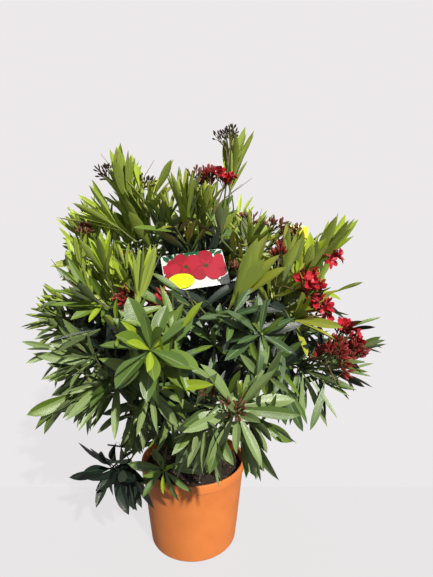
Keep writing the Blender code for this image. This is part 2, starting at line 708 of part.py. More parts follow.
def strap_solid(label, station):
    """The strap from the card's lower back, laid flat against the sleeve's outer wall."""
    start = card_place(label) @ Vector((0, 0, -label.height * STRAP_DROP))
    way = start - station.centre
    outwards = (way - station.heading * way.dot(station.heading)).normalized()
    wall = station.radius + GAP * 2 + LOOP_WALL / 2 + STRAP_THICKNESS / 2
    end = station.centre + outwards * wall
    heading = (end - start).normalized()
    flat = (outwards - heading * outwards.dot(heading)).normalized()
    frame = Matrix((flat.cross(heading), flat, heading)).transposed().to_4x4()
    frame.translation = (start + end) / 2
    size = (STRAP_WIDTH, STRAP_THICKNESS, (end - start).length, 1)
    bm = bmesh.new()
    bmesh.ops.create_cube(bm, size=1, matrix=frame @ Matrix.Diagonal(size))
    return bm


def make_label(label, limbs, material):
    before, tip = limbs["bough_" + label.bough][-2:]
    way = (tip.centre - before.centre).normalized()
    held = Station(tip.centre - way * LOOP_HEIGHT, way, tip.radius)
    return fuse(label.name, [card_solid(label), strap_solid(label, held), loop_solid(held)], material)


def fixed_surfaces(items):
    """One search tree over the meshes of what the foliage keeps clear of."""
    verts = []
    polygons = []
    for item in items:
        offset = len(verts)
        verts += [vert.co.copy() for vert in item.data.vertices]
        polygons += [[offset + index for index in face.vertices] for face in item.data.polygons]
    return BVHTree.FromPolygons(verts, polygons)


def main():
    clear_scene()
    plastic = make_material("terracotta_plastic", (0.80, 0.27, 0.08), 0.55)
    compost = make_material("compost", (0.035, 0.022, 0.014), 0.95)
    bark = make_material("bark", (0.16, 0.14, 0.07), 0.75)
    card = make_material("label_plastic", (0.62, 0.05, 0.06), 0.35)
    leaf_green = make_material("leaf_green", (0.12, 0.22, 0.03), 0.45)

    limbs, stems = grow_limbs()
    fixed = [make_pot(plastic), make_soil(compost), make_trunk(limbs["trunk"], bark)]
    for name, stations in limbs.items():
        if name != "trunk":
            sides = CANE_SIDES if name.startswith("cane") else BOUGH_SIDES
            fixed.append(add_object(name, tube(stations, sides), bark))
    fixed += [make_label(label, limbs, card) for label in LABELS]
    for item in fixed:
        item.data.shade_smooth()
        item.data.set_sharp_from_angle(angle=SHARP_ANGLE)

    centres = {name: place_along(stem, CELL_MIDDLE).centre for name, stem in stems.items()}
    obstacles = fixed_surfaces(fixed)
    stem_trees = [search_tree(tube(stem, STEM_SIDES)) for stem in stems.values()]
    for row in MASSES:
        make_mass(row, stems[row.name], centres, obstacles, stem_trees, leaf_green)


main()
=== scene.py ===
# %% [markdown]
# A potted oleander: the looks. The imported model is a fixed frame: its nodes say where pot, compost, trunk,
# canes, boughs, masses of foliage and labels are. Every plain solid is hidden here and a finished piece
# stands in its place. The plant is grown again by the same rule as its solids, only finer, so each leaf
# stands on a real twig, each twig on a bough, and the whole keeps the reach of the solids.

# %% Load the frame
import math
import random
from collections import namedtuple

import bmesh
import bpy
import numpy as np
from mathutils import Matrix, Vector, noise
from mathutils.bvhtree import BVHTree
from mathutils.kdtree import KDTree


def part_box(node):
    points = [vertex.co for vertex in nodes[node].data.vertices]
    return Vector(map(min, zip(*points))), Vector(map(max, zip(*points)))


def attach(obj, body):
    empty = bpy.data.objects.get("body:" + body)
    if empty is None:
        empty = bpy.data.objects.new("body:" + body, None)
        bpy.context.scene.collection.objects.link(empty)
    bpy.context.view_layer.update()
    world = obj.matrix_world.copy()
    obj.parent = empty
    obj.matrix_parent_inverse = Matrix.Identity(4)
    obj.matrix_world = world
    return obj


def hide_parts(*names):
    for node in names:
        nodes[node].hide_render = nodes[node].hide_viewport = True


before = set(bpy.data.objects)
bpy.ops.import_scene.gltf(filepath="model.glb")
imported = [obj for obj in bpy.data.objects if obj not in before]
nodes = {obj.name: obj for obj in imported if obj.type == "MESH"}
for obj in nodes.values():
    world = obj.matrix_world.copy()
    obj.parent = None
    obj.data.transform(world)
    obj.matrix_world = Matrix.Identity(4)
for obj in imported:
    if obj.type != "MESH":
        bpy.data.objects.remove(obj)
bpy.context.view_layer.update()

UP = Vector((0, 0, 1))
SEED = 20

# %% [markdown]
# First the plant's own numbers. An oleander is a bundle of canes from one short stool. Each cane forks into
# boughs, and each bough ends in a mass of leafy shoots. These are the sizes that its solids were grown
# from, so the finer plant lands on them. A table row per mass is easier to read than a list of points:
# where its leading tip is, how many side shoots it has, how they splay, and how its leaves stand. Lengths
# in the tables are in millimetres, which keeps the rows short.

# %% Tables of canes and masses
def metres(value):
    """Millimetres as metres, for one number or for each of several."""
    return tuple(map(metres, value)) if isinstance(value, tuple) else value / 1000


Cane = namedtuple("Cane", "name fork")
CANES = [Cane("cane_" + name, metres(fork)) for name, fork in (
    ("front", (10, -100, 400)), ("left", (-100, -45, 400)), ("right", (120, -45, 410)),
    ("high", (10, -5, 530)), ("back_left", (-80, 100, 410)), ("back_right", (80, 110, 420)))]

# The last four values of a row dress it: how wide its leaves open from their shoot in degrees, how far
# down its shoots the leaves reach, how many twiglets a shoot bears, and the family of greens they take.
Mass = namedtuple("Mass", "name carrier tip shoots splay turn lift droop open leafy twiglets greens")
MASSES = [Mass(*row)._replace(tip=metres(row[2]), leafy=metres(row[9])) for row in (
    ("leader", "cane_high", (86, 0, 815), 1, 22, 200, 1.2, 0, 15, 12, 0, "lime"),
    ("high_left", "cane_high", (-116, -50, 752), 3, 26, 30, 1.4, 0, 32, 80, 0, "lime"),
    ("high_centre", "cane_high", (-6, -85, 750), 3, 34, 60, 1.4, 0, 38, 85, 0, "olive"),
    ("high_right", "cane_high", (120, -70, 690), 3, 40, 100, 0.8, 0.05, 42, 90, 0, "olive"),
    ("upper_left", "cane_back_left", (-180, 10, 705), 3, 40, 80, 0.5, 0.05, 44, 85, 1, "lime"),
    ("left_shoulder", "cane_left", (-148, -130, 635), 3, 36, 20, 1, 0.05, 40, 90, 1, "lime"),
    ("left_edge", "cane_left", (-228, 0, 550), 4, 44, 50, 0.2, 0.12, 66, 120, 1, "fresh"),
    ("left_low", "cane_left", (-182, -140, 480), 4, 46, 140, 0, 0.25, 80, 110, 1, "grey"),
    ("left_hanging", "cane_front", (-100, -195, 408), 3, 44, 100, -0.4, 0.38, 84, 110, 1, "grey"),
    ("front_rosette", "cane_front", (-48, -290, 545), 4, 40, 150, 0.2, 0.1, 84, 62, 0, "fresh"),
    ("front_low", "cane_front", (78, -285, 450), 4, 42, 40, 0, 0.12, 84, 62, 0, "grey"),
    ("centre", "cane_front", (60, -225, 585), 3, 40, 0, 0.4, 0.1, 72, 70, 0, "deep"),
    ("middle_right", "cane_right", (155, -225, 500), 3, 42, 60, 0.2, 0.15, 80, 66, 0, "deep"),
    ("right_front", "cane_right", (195, -120, 605), 3, 32, 40, 0.5, 0.05, 44, 90, 1, "olive"),
    ("right_shoulder", "cane_right", (250, -20, 650), 3, 32, 80, 0.9, 0.05, 40, 90, 1, "lime"),
    ("right_low", "cane_right", (280, -105, 455), 4, 46, 10, 0, 0.15, 74, 90, 0, "deep"),
    ("back_left", "cane_back_left", (-195, 190, 560), 3, 46, 0, 0.3, 0.1, 66, 120, 2, "fresh"),
    ("back_left_low", "cane_back_left", (-140, 205, 380), 3, 48, 60, -0.2, 0.3, 80, 110, 1, "grey"),
    ("back_top", "cane_back_right", (30, 120, 735), 3, 36, 30, 1, 0.05, 42, 120, 2, "lime"),
    ("back_middle", "cane_back_right", (10, 275, 530), 3, 44, 90, 0.2, 0.1, 72, 120, 2, "fresh"),
    ("back_right", "cane_back_right", (205, 165, 570), 3, 46, 20, 0.3, 0.1, 66, 120, 2, "olive"),
    ("back_right_low", "cane_back_right", (155, 205, 390), 3, 48, 120, -0.2, 0.3, 80, 110, 1, "grey"),
    ("pot_left", "trunk", (-166, -105, 242), 1, 36, 210, -0.3, 0.35, 84, 0, 0, "deep"),
    ("pot_front", "trunk", (-70, -156, 305), 1, 34, 90, -0.2, 0.15, 80, 0, 0, "grey"),
)]
print("rule:", len(CANES), "canes,", len(MASSES), "masses")

# %% [markdown]
# A limb here is a curve with a heading at each end, the kind that an animator draws with two handles. It
# is sampled coarsely where the solids' own tests are repeated, and finely where it is drawn. A mass's
# stem is the last part of the same curve that its bough is the first part of, so the two run on.

# %% Limbs as curves
TRUNK_TOP = 0.228
TRUNK_TOP_RADIUS = 0.024
TRUNK_LEAN = 0.003
GAP = 0.0003
PEG_CIRCLE = 0.72
CANE_TAPER = 0.88
BOUGH_TAPER = 0.86
COURSE_STEPS = 7
BOUGH_STEPS = 3
LIMB_PULL = 0.9
STEM_FOOT_SHARE = 0.92
STEM_TIP_RADIUS = 0.0016

Station = namedtuple("Station", "centre heading radius")
Course = namedtuple("Course", "start heading end aim low high foot_radius tip_radius")


def walk(course, steps):
    """Stations along a course: places, headings and radii from its low to its high share."""
    reach = (course.end - course.start).length * LIMB_PULL
    stations = []
    for step in range(steps + 1):
        share = step / steps
        t = course.low + (course.high - course.low) * share
        point = (course.start * (2 * t**3 - 3 * t**2 + 1) + course.heading * reach * (t**3 - 2 * t**2 + t)
                 + course.end * (3 * t**2 - 2 * t**3) + course.aim * reach * (t**3 - t**2))
        slope = (course.start * (6 * t**2 - 6 * t) + course.heading * reach * (3 * t**2 - 4 * t + 1)
                 + course.end * (6 * t - 6 * t**2) + course.aim * reach * (3 * t**2 - 2 * t))
        radius = course.foot_radius + (course.tip_radius - course.foot_radius) * share
        stations.append(Station(point, slope.normalized(), radius))
    return stations


def pegs(top, targets):
    """Where limbs stand on a carrier's flat top, each on the side it grows towards, and their radius."""
    across = top.heading.orthogonal().normalized()
    along = top.heading.cross(across)
    ways = [Vector(target) - top.centre for target in targets]
    bearings = [math.atan2(way.dot(along), way.dot(across)) for way in ways]
    order = sorted(range(len(targets)), key=lambda index: bearings[index])
    pitch = math.tau / len(targets)
    offsets = [bearings[index] - place * pitch for place, index in enumerate(order)]
    start = math.atan2(sum(map(math.sin, offsets)), sum(map(math.cos, offsets)))
    circle = top.radius * PEG_CIRCLE
    places = {}
    for place, index in enumerate(order):
        angle = start + place * pitch
        sideways = across * math.cos(angle) + along * math.sin(angle)
        places[index] = top.centre + sideways * circle + top.heading * GAP
    radius = circle * math.sin(pitch / 2) - GAP
    return [places[index] for index in range(len(targets))], radius


def lay_courses():
    """The courses of canes and boughs, and of each mass's own stem."""
    tops = {"trunk": Station(Vector((TRUNK_LEAN, 0, TRUNK_TOP)), UP, TRUNK_TOP_RADIUS)}
    limbs, stems = {}, {}
    for carrier in ["trunk"] + [cane.name for cane in CANES]:
        top = tops[carrier]
        canes = [cane for cane in CANES if carrier == "trunk"]
        rows = [row for row in MASSES if row.carrier == carrier]
        places, radius = pegs(top, [cane.fork for cane in canes] + [row.tip for row in rows])
        for cane, foot in zip(canes, places):
            fork = Vector(cane.fork)
            aim = ((fork - foot).normalized() + UP).normalized()
            limbs[cane.name] = Course(foot, top.heading, fork, aim, 0, 1, radius, radius * CANE_TAPER)
            tops[cane.name] = walk(limbs[cane.name], 1)[-1]
        for row, foot in zip(rows, places[len(canes):]):
            tip = Vector(row.tip)
            aim = ((tip - top.centre).normalized() + UP * row.lift).normalized()
            split = BOUGH_STEPS / COURSE_STEPS
            tip_radius = radius * BOUGH_TAPER
            limbs["bough_" + row.name] = Course(foot, top.heading, tip, aim, 0, split, radius, tip_radius)
            stems[row.name] = Course(foot, top.heading, tip, aim, split, 1,
                                     tip_radius * STEM_FOOT_SHARE, STEM_TIP_RADIUS)
    return limbs, stems


limb_courses, stem_courses = lay_courses()
print("limbs:", len(limb_courses), "and stems:", len(stem_courses))

# %% [markdown]
# Two helpers turn curves and bmeshes into pieces. A tube is a circle that is extruded from station to
# station, because that keeps the rings in step where the limb bends. Every finished piece sits at the
# origin with its place in its mesh, rides on the plant's one body and hides the solids it stands for.

# %% Helpers for pieces
def stood(centre, heading):
    """The matrix that moves the origin to a place and turns +Z to a heading."""
    return Matrix.Translation(centre) @ heading.to_track_quat("Z", "Y").to_matrix().to_4x4()


def add_tube(bm, stations, sides):
    """Skin a closed tube through its stations."""
    centre, heading, radius = stations[0]
    start = stood(centre, heading)
    kinds = (bmesh.types.BMVert, bmesh.types.BMEdge, bmesh.types.BMFace)
    ring = bmesh.ops.create_circle(bm, segments=sides, radius=radius, matrix=start)["verts"]
    edges = list({edge for vert in ring for edge in vert.link_edges})
    faces = bmesh.ops.edgeloop_fill(bm, edges=edges)["faces"]
    for station in stations[1:]:
        grown = bmesh.ops.extrude_edge_only(bm, edges=edges)["geom"]
        ring, edges, wall = ([part for part in grown if isinstance(part, kind)] for kind in kinds)
        faces += wall
        turn = heading.rotation_difference(station.heading).to_matrix().to_4x4()
        size = Matrix.Scale(station.radius / radius, 4)
        move = Matrix.Translation(station.centre) @ turn @ size @ Matrix.Translation(-centre)
        bmesh.ops.transform(bm, matrix=move, verts=ring)
        centre, heading, radius = station
    faces += bmesh.ops.edgeloop_fill(bm, edges=edges)["faces"]
    bmesh.ops.recalc_face_normals(bm, faces=faces)
    return faces


def put_in_scene(name, data):
    """An object made of a mesh, a lamp or a camera, which gets its name as well."""
    data.name = name
    thing = bpy.data.objects.new(name, data)
    bpy.context.scene.collection.objects.link(thing)
    return thing


def add_piece(name, mesh, materials, slot, stands_for=()):
    """Hang a finished mesh in the scene as a piece of the plant."""
    for material in materials:
        mesh.materials.append(material)
    piece = put_in_scene(name, mesh)
    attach(piece, "root")
    if stands_for:
        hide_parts(*stands_for)
    print(f"{name}: {len(mesh.polygons)} faces")
    return piece


def mesh_of(bm, sharp=None):
    """Make a mesh from a bmesh, shaded smooth except across edges sharper than an angle in degrees."""
    mesh = bpy.data.meshes.new("mesh")
    bm.to_mesh(mesh)
    bm.free()
    mesh.shade_smooth()
    if sharp:
        mesh.set_sharp_from_angle(angle=math.radians(sharp))
    return mesh


print("helpers:", add_tube.__name__, add_piece.__name__, mesh_of.__name__)

# %% [markdown]
# Shared effects come next, as node groups. "grain" is a speckle that every made or grown surface here has
# at its own scale: it gives a shade to mix colours with and a height for bumps. "veins" reads the map
# that each leaf carries, across and along, and draws the fine side veins that run out from the midrib. A
# node is made by one helper that also fills its sockets, so that a tree reads as a list of its nodes.

# %% Shared effects
def add_node(tree, kind, inputs=(), **settings):
    """A shader node with its settings; inputs gives its sockets numbers, colours or sockets to read."""
    node = tree.nodes.new("ShaderNode" + kind)
    for name, value in settings.items():
        setattr(node, name, value)
    for key, value in dict(inputs).items():
        if isinstance(value, bpy.types.NodeSocket):
            tree.links.new(value, node.inputs[key])
        else:
            node.inputs[key].default_value = value
    return node


def math_node(tree, operation, first, second=0.0):
    return add_node(tree, "Math", {0: first, 1: second}, operation=operation).outputs[0]


def new_group(name, inputs, outputs):
    group = bpy.data.node_groups.new(name, "ShaderNodeTree")
    for label, value in inputs.items():
        socket = group.interface.new_socket(label, in_out="INPUT", socket_type="NodeSocketFloat")
        socket.default_value = value
    for label in outputs:
        group.interface.new_socket(label, in_out="OUTPUT", socket_type="NodeSocketFloat")
    return group, group.nodes.new("NodeGroupInput").outputs, group.nodes.new("NodeGroupOutput").inputs


def build_grain():
    group, given, wanted = new_group("grain", {"Scale": 60, "Stretch": 1}, ("Shade", "Height"))
    split = add_node(group, "SeparateXYZ", {0: add_node(group, "TexCoord").outputs["Object"]}).outputs
    drawn_out = math_node(group, "DIVIDE", split["Z"], given["Stretch"])
    spot = add_node(group, "CombineXYZ", {"X": split["X"], "Y": split["Y"], "Z": drawn_out}).outputs[0]
    for label, share, detail in (("Shade", 1, 5), ("Height", 3, 8)):
        scale = math_node(group, "MULTIPLY", given["Scale"], share)
        speckle = add_node(group, "TexNoise", {"Detail": detail, "Vector": spot, "Scale": scale})
        group.links.new(speckle.outputs["Fac"], wanted[label])
    return group


def build_veins():
    group, given, wanted = new_group("veins", {"Count": 44, "Slant": 0.22}, ("Height",))
    leaf_map = add_node(group, "UVMap", uv_map="leaf").outputs[0]
    split = add_node(group, "SeparateXYZ", {0: leaf_map}).outputs
    across = math_node(group, "ABSOLUTE", math_node(group, "SUBTRACT", split["X"], 0.5))
    along = math_node(group, "SUBTRACT", split["Y"], math_node(group, "MULTIPLY", across, given["Slant"]))
    turns = math_node(group, "MULTIPLY", math_node(group, "MULTIPLY", along, given["Count"]), math.tau)
    group.links.new(math_node(group, "SINE", turns), wanted["Height"])
    return group


GRAIN = build_grain()
VEINS = build_veins()
print("groups:", GRAIN.name, VEINS.name)

# %% [markdown]
# Materials are a Principled shader with a few values, and most of them read the grain: one value of it
# mixes two colours, moves the roughness between two values and raises the bumps. That keeps colour, gloss
# and relief in step, as they are on a real surface.

# %% Helpers for materials
def shader_of(material):
    return material.node_tree.nodes["Principled BSDF"].inputs


def base_material(name, colour, roughness, specular=0.5):
    material = bpy.data.materials.new(name)
    material.use_nodes = True
    material.diffuse_color = (*colour, 1)
    shader = shader_of(material)
    shader["Base Color"].default_value = (*colour, 1)
    shader["Roughness"].default_value = roughness
    shader["Specular IOR Level"].default_value = specular
    return material


def add_bump(material, height, strength, distance):
    tree = material.node_tree
    bump = add_node(tree, "Bump", {"Strength": strength, "Distance": distance, "Height": height})
    tree.links.new(bump.outputs["Normal"], shader_of(material)["Normal"])


def colour_ramp(tree, value, places, colours):
    """A colour that runs from the first of two to the second as a value goes from place to place."""
    ramp = add_node(tree, "ValToRGB", {"Fac": value})
    for stop, place, colour in zip(ramp.color_ramp.elements, places, colours):
        stop.position = place
        stop.color = (*colour, 1)
    return ramp.outputs["Color"]


def grained_material(name, dark, light, rough, scale, bump, depth, stretch=1.0, contrast=(0.35, 0.65)):
    """A surface whose colour, roughness and height all follow one grain."""
    material = base_material(name, light, rough[0])
    tree = material.node_tree
    shader = shader_of(material)
    grain = add_node(tree, "Group", {"Scale": scale, "Stretch": stretch}, node_tree=GRAIN).outputs
    tree.links.new(colour_ramp(tree, grain["Shade"], contrast, (dark, light)), shader["Base Color"])
    spread = add_node(tree, "MapRange", {"Value": grain["Height"], "To Min": rough[0], "To Max": rough[1]})
    tree.links.new(spread.outputs["Result"], shader["Roughness"])
    add_bump(material, grain["Height"], bump, depth)
    return material


print("materials so far:", len(bpy.data.materials))

# %% [markdown]
# The pot is a moulded nursery pot: straight walls that widen to the top, a thicker band round the rim with
# a rolled lip, and holes in the floor. It could be made with a Screw modifier; spinning one profile in
# bmesh does the same and lets the corners be arcs worked out from their radius. The holes are real cuts.

# %% The pot
POT_HEIGHT = 0.195
POT_FOOT_RADIUS = 0.1
POT_RIM_RADIUS = 0.12
POT_WALL = 0.0025
POT_FLOOR = 0.004
POT_BAND_HEIGHT = 0.02
POT_BAND_STEP = 0.0028
POT_ROUND_STEPS = 96
WALL_RING_HEIGHTS = (0.05, 0.1, 0.15)
FOOT_ARC = 0.005
LIP_ARC = 0.0016
DRAIN_CIRCLE_RADIUS = 0.064
DRAIN_HOLE_RADIUS = 0.006


def arc(centre, radius, first, last, steps=5):
    """Points of an arc in a profile of (radius, height), from a first to a last angle in degrees."""
    angles = [math.radians(first + (last - first) * step / steps) for step in range(steps + 1)]
    return [(centre[0] + radius * math.cos(angle), centre[1] + radius * math.sin(angle)) for angle in angles]


def spun(profile, steps):
    """Spin a profile round +Z, with its doubles merged and its faces turned out."""
    bm = bmesh.new()
    verts = [bm.verts.new((radius, 0, height)) for radius, height in profile]
    edges = [bm.edges.new(pair) for pair in zip(verts, verts[1:])]
    if profile[0][0] > 0:
        edges.append(bm.edges.new((verts[-1], verts[0])))
    bmesh.ops.spin(bm, geom=verts + edges, cent=(0, 0, 0), axis=(0, 0, 1), angle=math.tau,
                   steps=steps, use_merge=True)
    bmesh.ops.remove_doubles(bm, verts=bm.verts, dist=1e-6)
    bmesh.ops.recalc_face_normals(bm, faces=bm.faces)
    return bm


def pot_profile():
    band = POT_HEIGHT - POT_BAND_HEIGHT
    wall_top = POT_RIM_RADIUS - POT_BAND_STEP
    lean = (wall_top - POT_FOOT_RADIUS) / band
    inner = wall_top - POT_WALL
    profile = [(0, 0)]
    profile += arc((POT_FOOT_RADIUS - FOOT_ARC, FOOT_ARC), FOOT_ARC, -90, 0)
    profile += [(POT_FOOT_RADIUS + lean * height, height) for height in WALL_RING_HEIGHTS]
    profile += arc((wall_top + POT_BAND_STEP, band - 0.001), POT_BAND_STEP, 180, 100, 3)
    profile += arc((POT_RIM_RADIUS - LIP_ARC, band + LIP_ARC), LIP_ARC, -60, 0, 3)
    profile += arc((POT_RIM_RADIUS - LIP_ARC, POT_HEIGHT - LIP_ARC), LIP_ARC, 0, 90)
    profile += arc((inner + LIP_ARC, POT_HEIGHT - LIP_ARC), LIP_ARC, 90, 180, 3)
    profile += [(inner, band), (POT_FOOT_RADIUS - POT_WALL, POT_FLOOR * 2)]
    profile += [(POT_FOOT_RADIUS - POT_WALL - POT_FLOOR, POT_FLOOR), (0, POT_FLOOR)]
    return profile


def cut_drain_holes(pot):
    """Cut four round holes through the floor and bake the cuts into the mesh."""
    cutters = []
    for hole in range(4):
        angle = math.tau * hole / 4
        centre = Vector((math.cos(angle), math.sin(angle), 0)) * DRAIN_CIRCLE_RADIUS
        drill = bmesh.new()
        bmesh.ops.create_cone(drill, cap_ends=True, segments=24, radius1=DRAIN_HOLE_RADIUS,
                              radius2=DRAIN_HOLE_RADIUS, depth=POT_FLOOR * 4,
                              matrix=Matrix.Translation(centre))
        mesh = bpy.data.meshes.new("drill")
        drill.to_mesh(mesh)
        drill.free()
        cutter = put_in_scene("drill", mesh)
        cut = pot.modifiers.new("Drain hole", "BOOLEAN")
        cut.operation = "DIFFERENCE"
        cut.object = cutter
        cutters.append(cutter)
    evaluated = pot.evaluated_get(bpy.context.evaluated_depsgraph_get())
    cut_mesh = bpy.data.meshes.new_from_object(evaluated)
    pot.modifiers.clear()
    pot.data = cut_mesh
    for cutter in cutters:
        bpy.data.objects.remove(cutter, do_unlink=True)


terracotta = grained_material("terracotta_plastic", (0.65, 0.185, 0.041), (0.72, 0.215, 0.05),
                              (0.42, 0.58), 22, 0.1, 0.0004, contrast=(0.3, 0.7))
pot = add_piece("pot_shell", mesh_of(spun(pot_profile(), POT_ROUND_STEPS), 35), [terracotta],
                "pot", ["pot"])
cut_drain_holes(pot)

# %% [markdown]
# Compost is crumbs, and a smooth disc never looks like it. The body is a turned disc whose rings are pushed
# up and down by noise, and loose crumbs, bark chips and a few pale grains lie on it. The crumbs are one
# joined mesh made from an array of places, each a squashed low ball.

# %% Compost
SOIL_TOP = 0.178
SOIL_LUMPS = 0.0035
SOIL_NOISE = ((45, 3.1, 1), (120, 7.7, 0.6), (300, 5.3, 0.4))  # how fine, from which layer, how strong
SOIL_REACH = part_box("soil")[1].x - 0.001
SOIL_EDGE, SOIL_EDGE_DROP = 0.75, 0.005
SOIL_RINGS = 26
CRUMBS = 1100
CRUMB_MIX = (74, 22, 4)  # crumbs, bark chips and pale grains in a hundred
CRUMB_SIZES = (1, 1.5, 0.8)
CRUMB_TILT = 0.6


def soil_height(x, y):
    """Height of the compost's surface: lumps of three sizes, flat under the trunk and low at the wall."""
    away = math.hypot(x, y) / SOIL_REACH
    lumps = sum(strength * noise.noise(Vector((x, y, layer)) * fine) for fine, layer, strength in SOIL_NOISE)
    edge = max(0, away - SOIL_EDGE) / (1 - SOIL_EDGE)
    return SOIL_TOP + SOIL_LUMPS * lumps * min(1, away * 2.2) - SOIL_EDGE_DROP * edge


def make_soil():
    low = POT_FLOOR + GAP
    foot = POT_FOOT_RADIUS - POT_WALL - POT_FLOOR
    rings = [SOIL_REACH * (1 - ring / SOIL_RINGS) for ring in range(SOIL_RINGS)]
    profile = [(0, low), (foot - GAP, low), (POT_FOOT_RADIUS - POT_WALL - GAP * 2, low + POT_FLOOR)]
    profile += [(radius, SOIL_TOP) for radius in rings] + [(0, SOIL_TOP)]
    bm = spun(profile, POT_ROUND_STEPS)
    for vert in bm.verts:
        if vert.co.z > SOIL_TOP - GAP:
            vert.co.z = soil_height(vert.co.x, vert.co.y)
    return bm


def make_crumbs():
    draw = random.Random(SEED)
    bm = bmesh.new()
    for _ in range(CRUMBS):
        away = SOIL_REACH * math.sqrt(draw.random()) * 0.97
        angle = draw.uniform(0, math.tau)
        x, y = away * math.cos(angle), away * math.sin(angle)
        kind = draw.choices((0, 1, 2), weights=CRUMB_MIX)[0]
        size = draw.uniform(0.0008, 0.0026) * CRUMB_SIZES[kind]
        flat = Matrix.Diagonal((1, draw.uniform(0.4, 0.9), draw.uniform(0.3, 0.7), 1))
        turn = Matrix.Rotation(draw.uniform(0, math.tau), 4, "Z")
        turn = turn @ Matrix.Rotation(draw.uniform(-CRUMB_TILT, CRUMB_TILT), 4, "X")
        place = Matrix.Translation((x, y, soil_height(x, y) + size * 0.2)) @ turn @ flat
        made = bmesh.ops.create_icosphere(bm, subdivisions=1, radius=size, matrix=place)["verts"]
        for face in {face for vert in made for face in vert.link_faces}:
            face.material_index = kind
    return bm


compost = grained_material("compost", (0.008, 0.005, 0.003), (0.045, 0.028, 0.017), (0.85, 1.0), 260, 0.9,
                           0.0012)
bark_chip = grained_material("bark_chip", (0.05, 0.028, 0.015), (0.13, 0.075, 0.04), (0.7, 0.95), 300, 0.5,
                             0.0005)
perlite = base_material("perlite", (0.55, 0.53, 0.48), 0.9)
add_piece("compost_body", mesh_of(make_soil(), 40), [compost], "compost", ["soil"])
add_piece("compost_crumbs", mesh_of(make_crumbs()), [compost, bark_chip, perlite], "compost")

# %% [markdown]
# The stool flares at its foot. Every other limb starts a little inside what carries it, with a swelling
# there, and each end is rounded, so that forks close up.

# %% Feet and ends of the limbs
TRUNK_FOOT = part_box("trunk")[0].z
TRUNK_FLARE_RADIUS = 0.037
TRUNK_TAPER = 0.06
FLARE_FALL = 5
FOOT_DIP = 0.01
FOOT_SWELL = 0.22
SWELL_REACH = 0.016
FOOT_SLACK = 1.05
DOME_ANGLES = (30, 60, 80)
DOME_SHARE, TRUNK_DOME_SHARE = 0.8, 0.35


def trunk_stations(steps):
    stations = []
    for step in range(steps + 1):
        share = step / steps
        radius = TRUNK_TOP_RADIUS * (1 + TRUNK_TAPER * (1 - share))
        radius += (TRUNK_FLARE_RADIUS - TRUNK_TOP_RADIUS) * (1 - share) ** FLARE_FALL
        centre = Vector((TRUNK_LEAN * share, 0, TRUNK_FOOT + (TRUNK_TOP - TRUNK_FOOT) * share))
        stations.append(Station(centre, UP, radius))
    return stations


def rounded_end(stations, share=DOME_SHARE):
    """Add three narrowing rings that close a limb's end as a low dome."""
    centre, heading, radius = stations[-1]
    for turn in DOME_ANGLES:
        angle = math.radians(turn)
        stations = stations + [Station(centre + heading * radius * share * math.sin(angle), heading,
                                       radius * math.cos(angle))]
    return stations


def rooted(stations):
    """Start a limb inside its carrier, with a swelling where it leaves it."""
    first = stations[0]
    begun = [Station(first.centre - first.heading * FOOT_DIP, first.heading, first.radius * FOOT_SLACK)]
    travelled = 0
    for before, station in zip(stations[:1] + stations, stations):
        travelled += (station.centre - before.centre).length
        swell = 1 + FOOT_SWELL * math.exp(-((travelled / SWELL_REACH) ** 2))
        begun.append(station._replace(radius=station.radius * swell))
    return begun


def length_of(stations):
    return sum((after.centre - before.centre).length for before, after in zip(stations, stations[1:]))


print("trunk from", round(TRUNK_FOOT, 3), "to", TRUNK_TOP)

# %% [markdown]
# Bark: the stool and old canes of an oleander are grey-brown and smooth, with low ridges that run along
# them, raised rings where leaves once stood, and shallow lobes round the stool. The young wood above is
# greener. Each limb is a tube of many rings whose points are then pushed out or in by noise, so the relief
# is in the mesh.

# %% Trunk, canes and boughs with bark relief
SCAR_PITCH, SCAR_HEIGHT, SCAR_WIDTH = 0.026, 0.0005, 0.0016
RIDGE_DEPTH, RIDGES_ROUND, RIDGES_ALONG = 0.055, 2.6, 18
KNOB_HEIGHT, KNOB_FINENESS = 0.00028, 160
LOBES, LOBE_DEPTH, LOBE_HEIGHT, LOBE_TURN = 4, 0.1, 0.4, 0.6
RING_PITCH = 0.004
MEASURE_STEPS = 12
TRUNK_STEPS, TRUNK_SIDES, CANE_SIDES, BOUGH_SIDES = 16, 40, 16, 12


def relief(point, out, along, radius):
    """How far bark stands out at a point: long ridges, knobs, and the rings of old leaf scars."""
    spot = Vector((out.x * RIDGES_ROUND, out.y * RIDGES_ROUND, along * RIDGES_ALONG + out.z))
    ridges = noise.noise(spot) * RIDGE_DEPTH * radius
    knobs = noise.noise(point * KNOB_FINENESS) * KNOB_HEIGHT
    from_scar = (along + 0.5 * SCAR_PITCH) % SCAR_PITCH - 0.5 * SCAR_PITCH
    return ridges + knobs + SCAR_HEIGHT * math.exp(-(from_scar / SCAR_WIDTH) ** 2)


def bark_tube(bm, stations, sides):
    """A tube whose rings are pushed in and out by the bark's relief."""
    start = len(bm.verts)
    add_tube(bm, stations, sides)
    bm.verts.ensure_lookup_table()
    along = 0
    for index, station in enumerate(stations):
        if index:
            along += (station.centre - stations[index - 1].centre).length
        for vert in bm.verts[start + index * sides:start + (index + 1) * sides]:
            out = (vert.co - station.centre).normalized()
            vert.co += out * relief(vert.co, out, along, station.radius)


def make_trunk():
    bm = bmesh.new()
    bark_tube(bm, rounded_end(trunk_stations(TRUNK_STEPS), TRUNK_DOME_SHARE), TRUNK_SIDES)
    for vert in bm.verts:
        depth = max(0, 1 - (vert.co.z - TRUNK_FOOT) / (TRUNK_TOP - TRUNK_FOOT) / LOBE_HEIGHT)
        swell = 1 + LOBE_DEPTH * depth * math.cos(LOBES * math.atan2(vert.co.y, vert.co.x) + LOBE_TURN)
        vert.co.x *= swell
        vert.co.y *= swell
    return bm


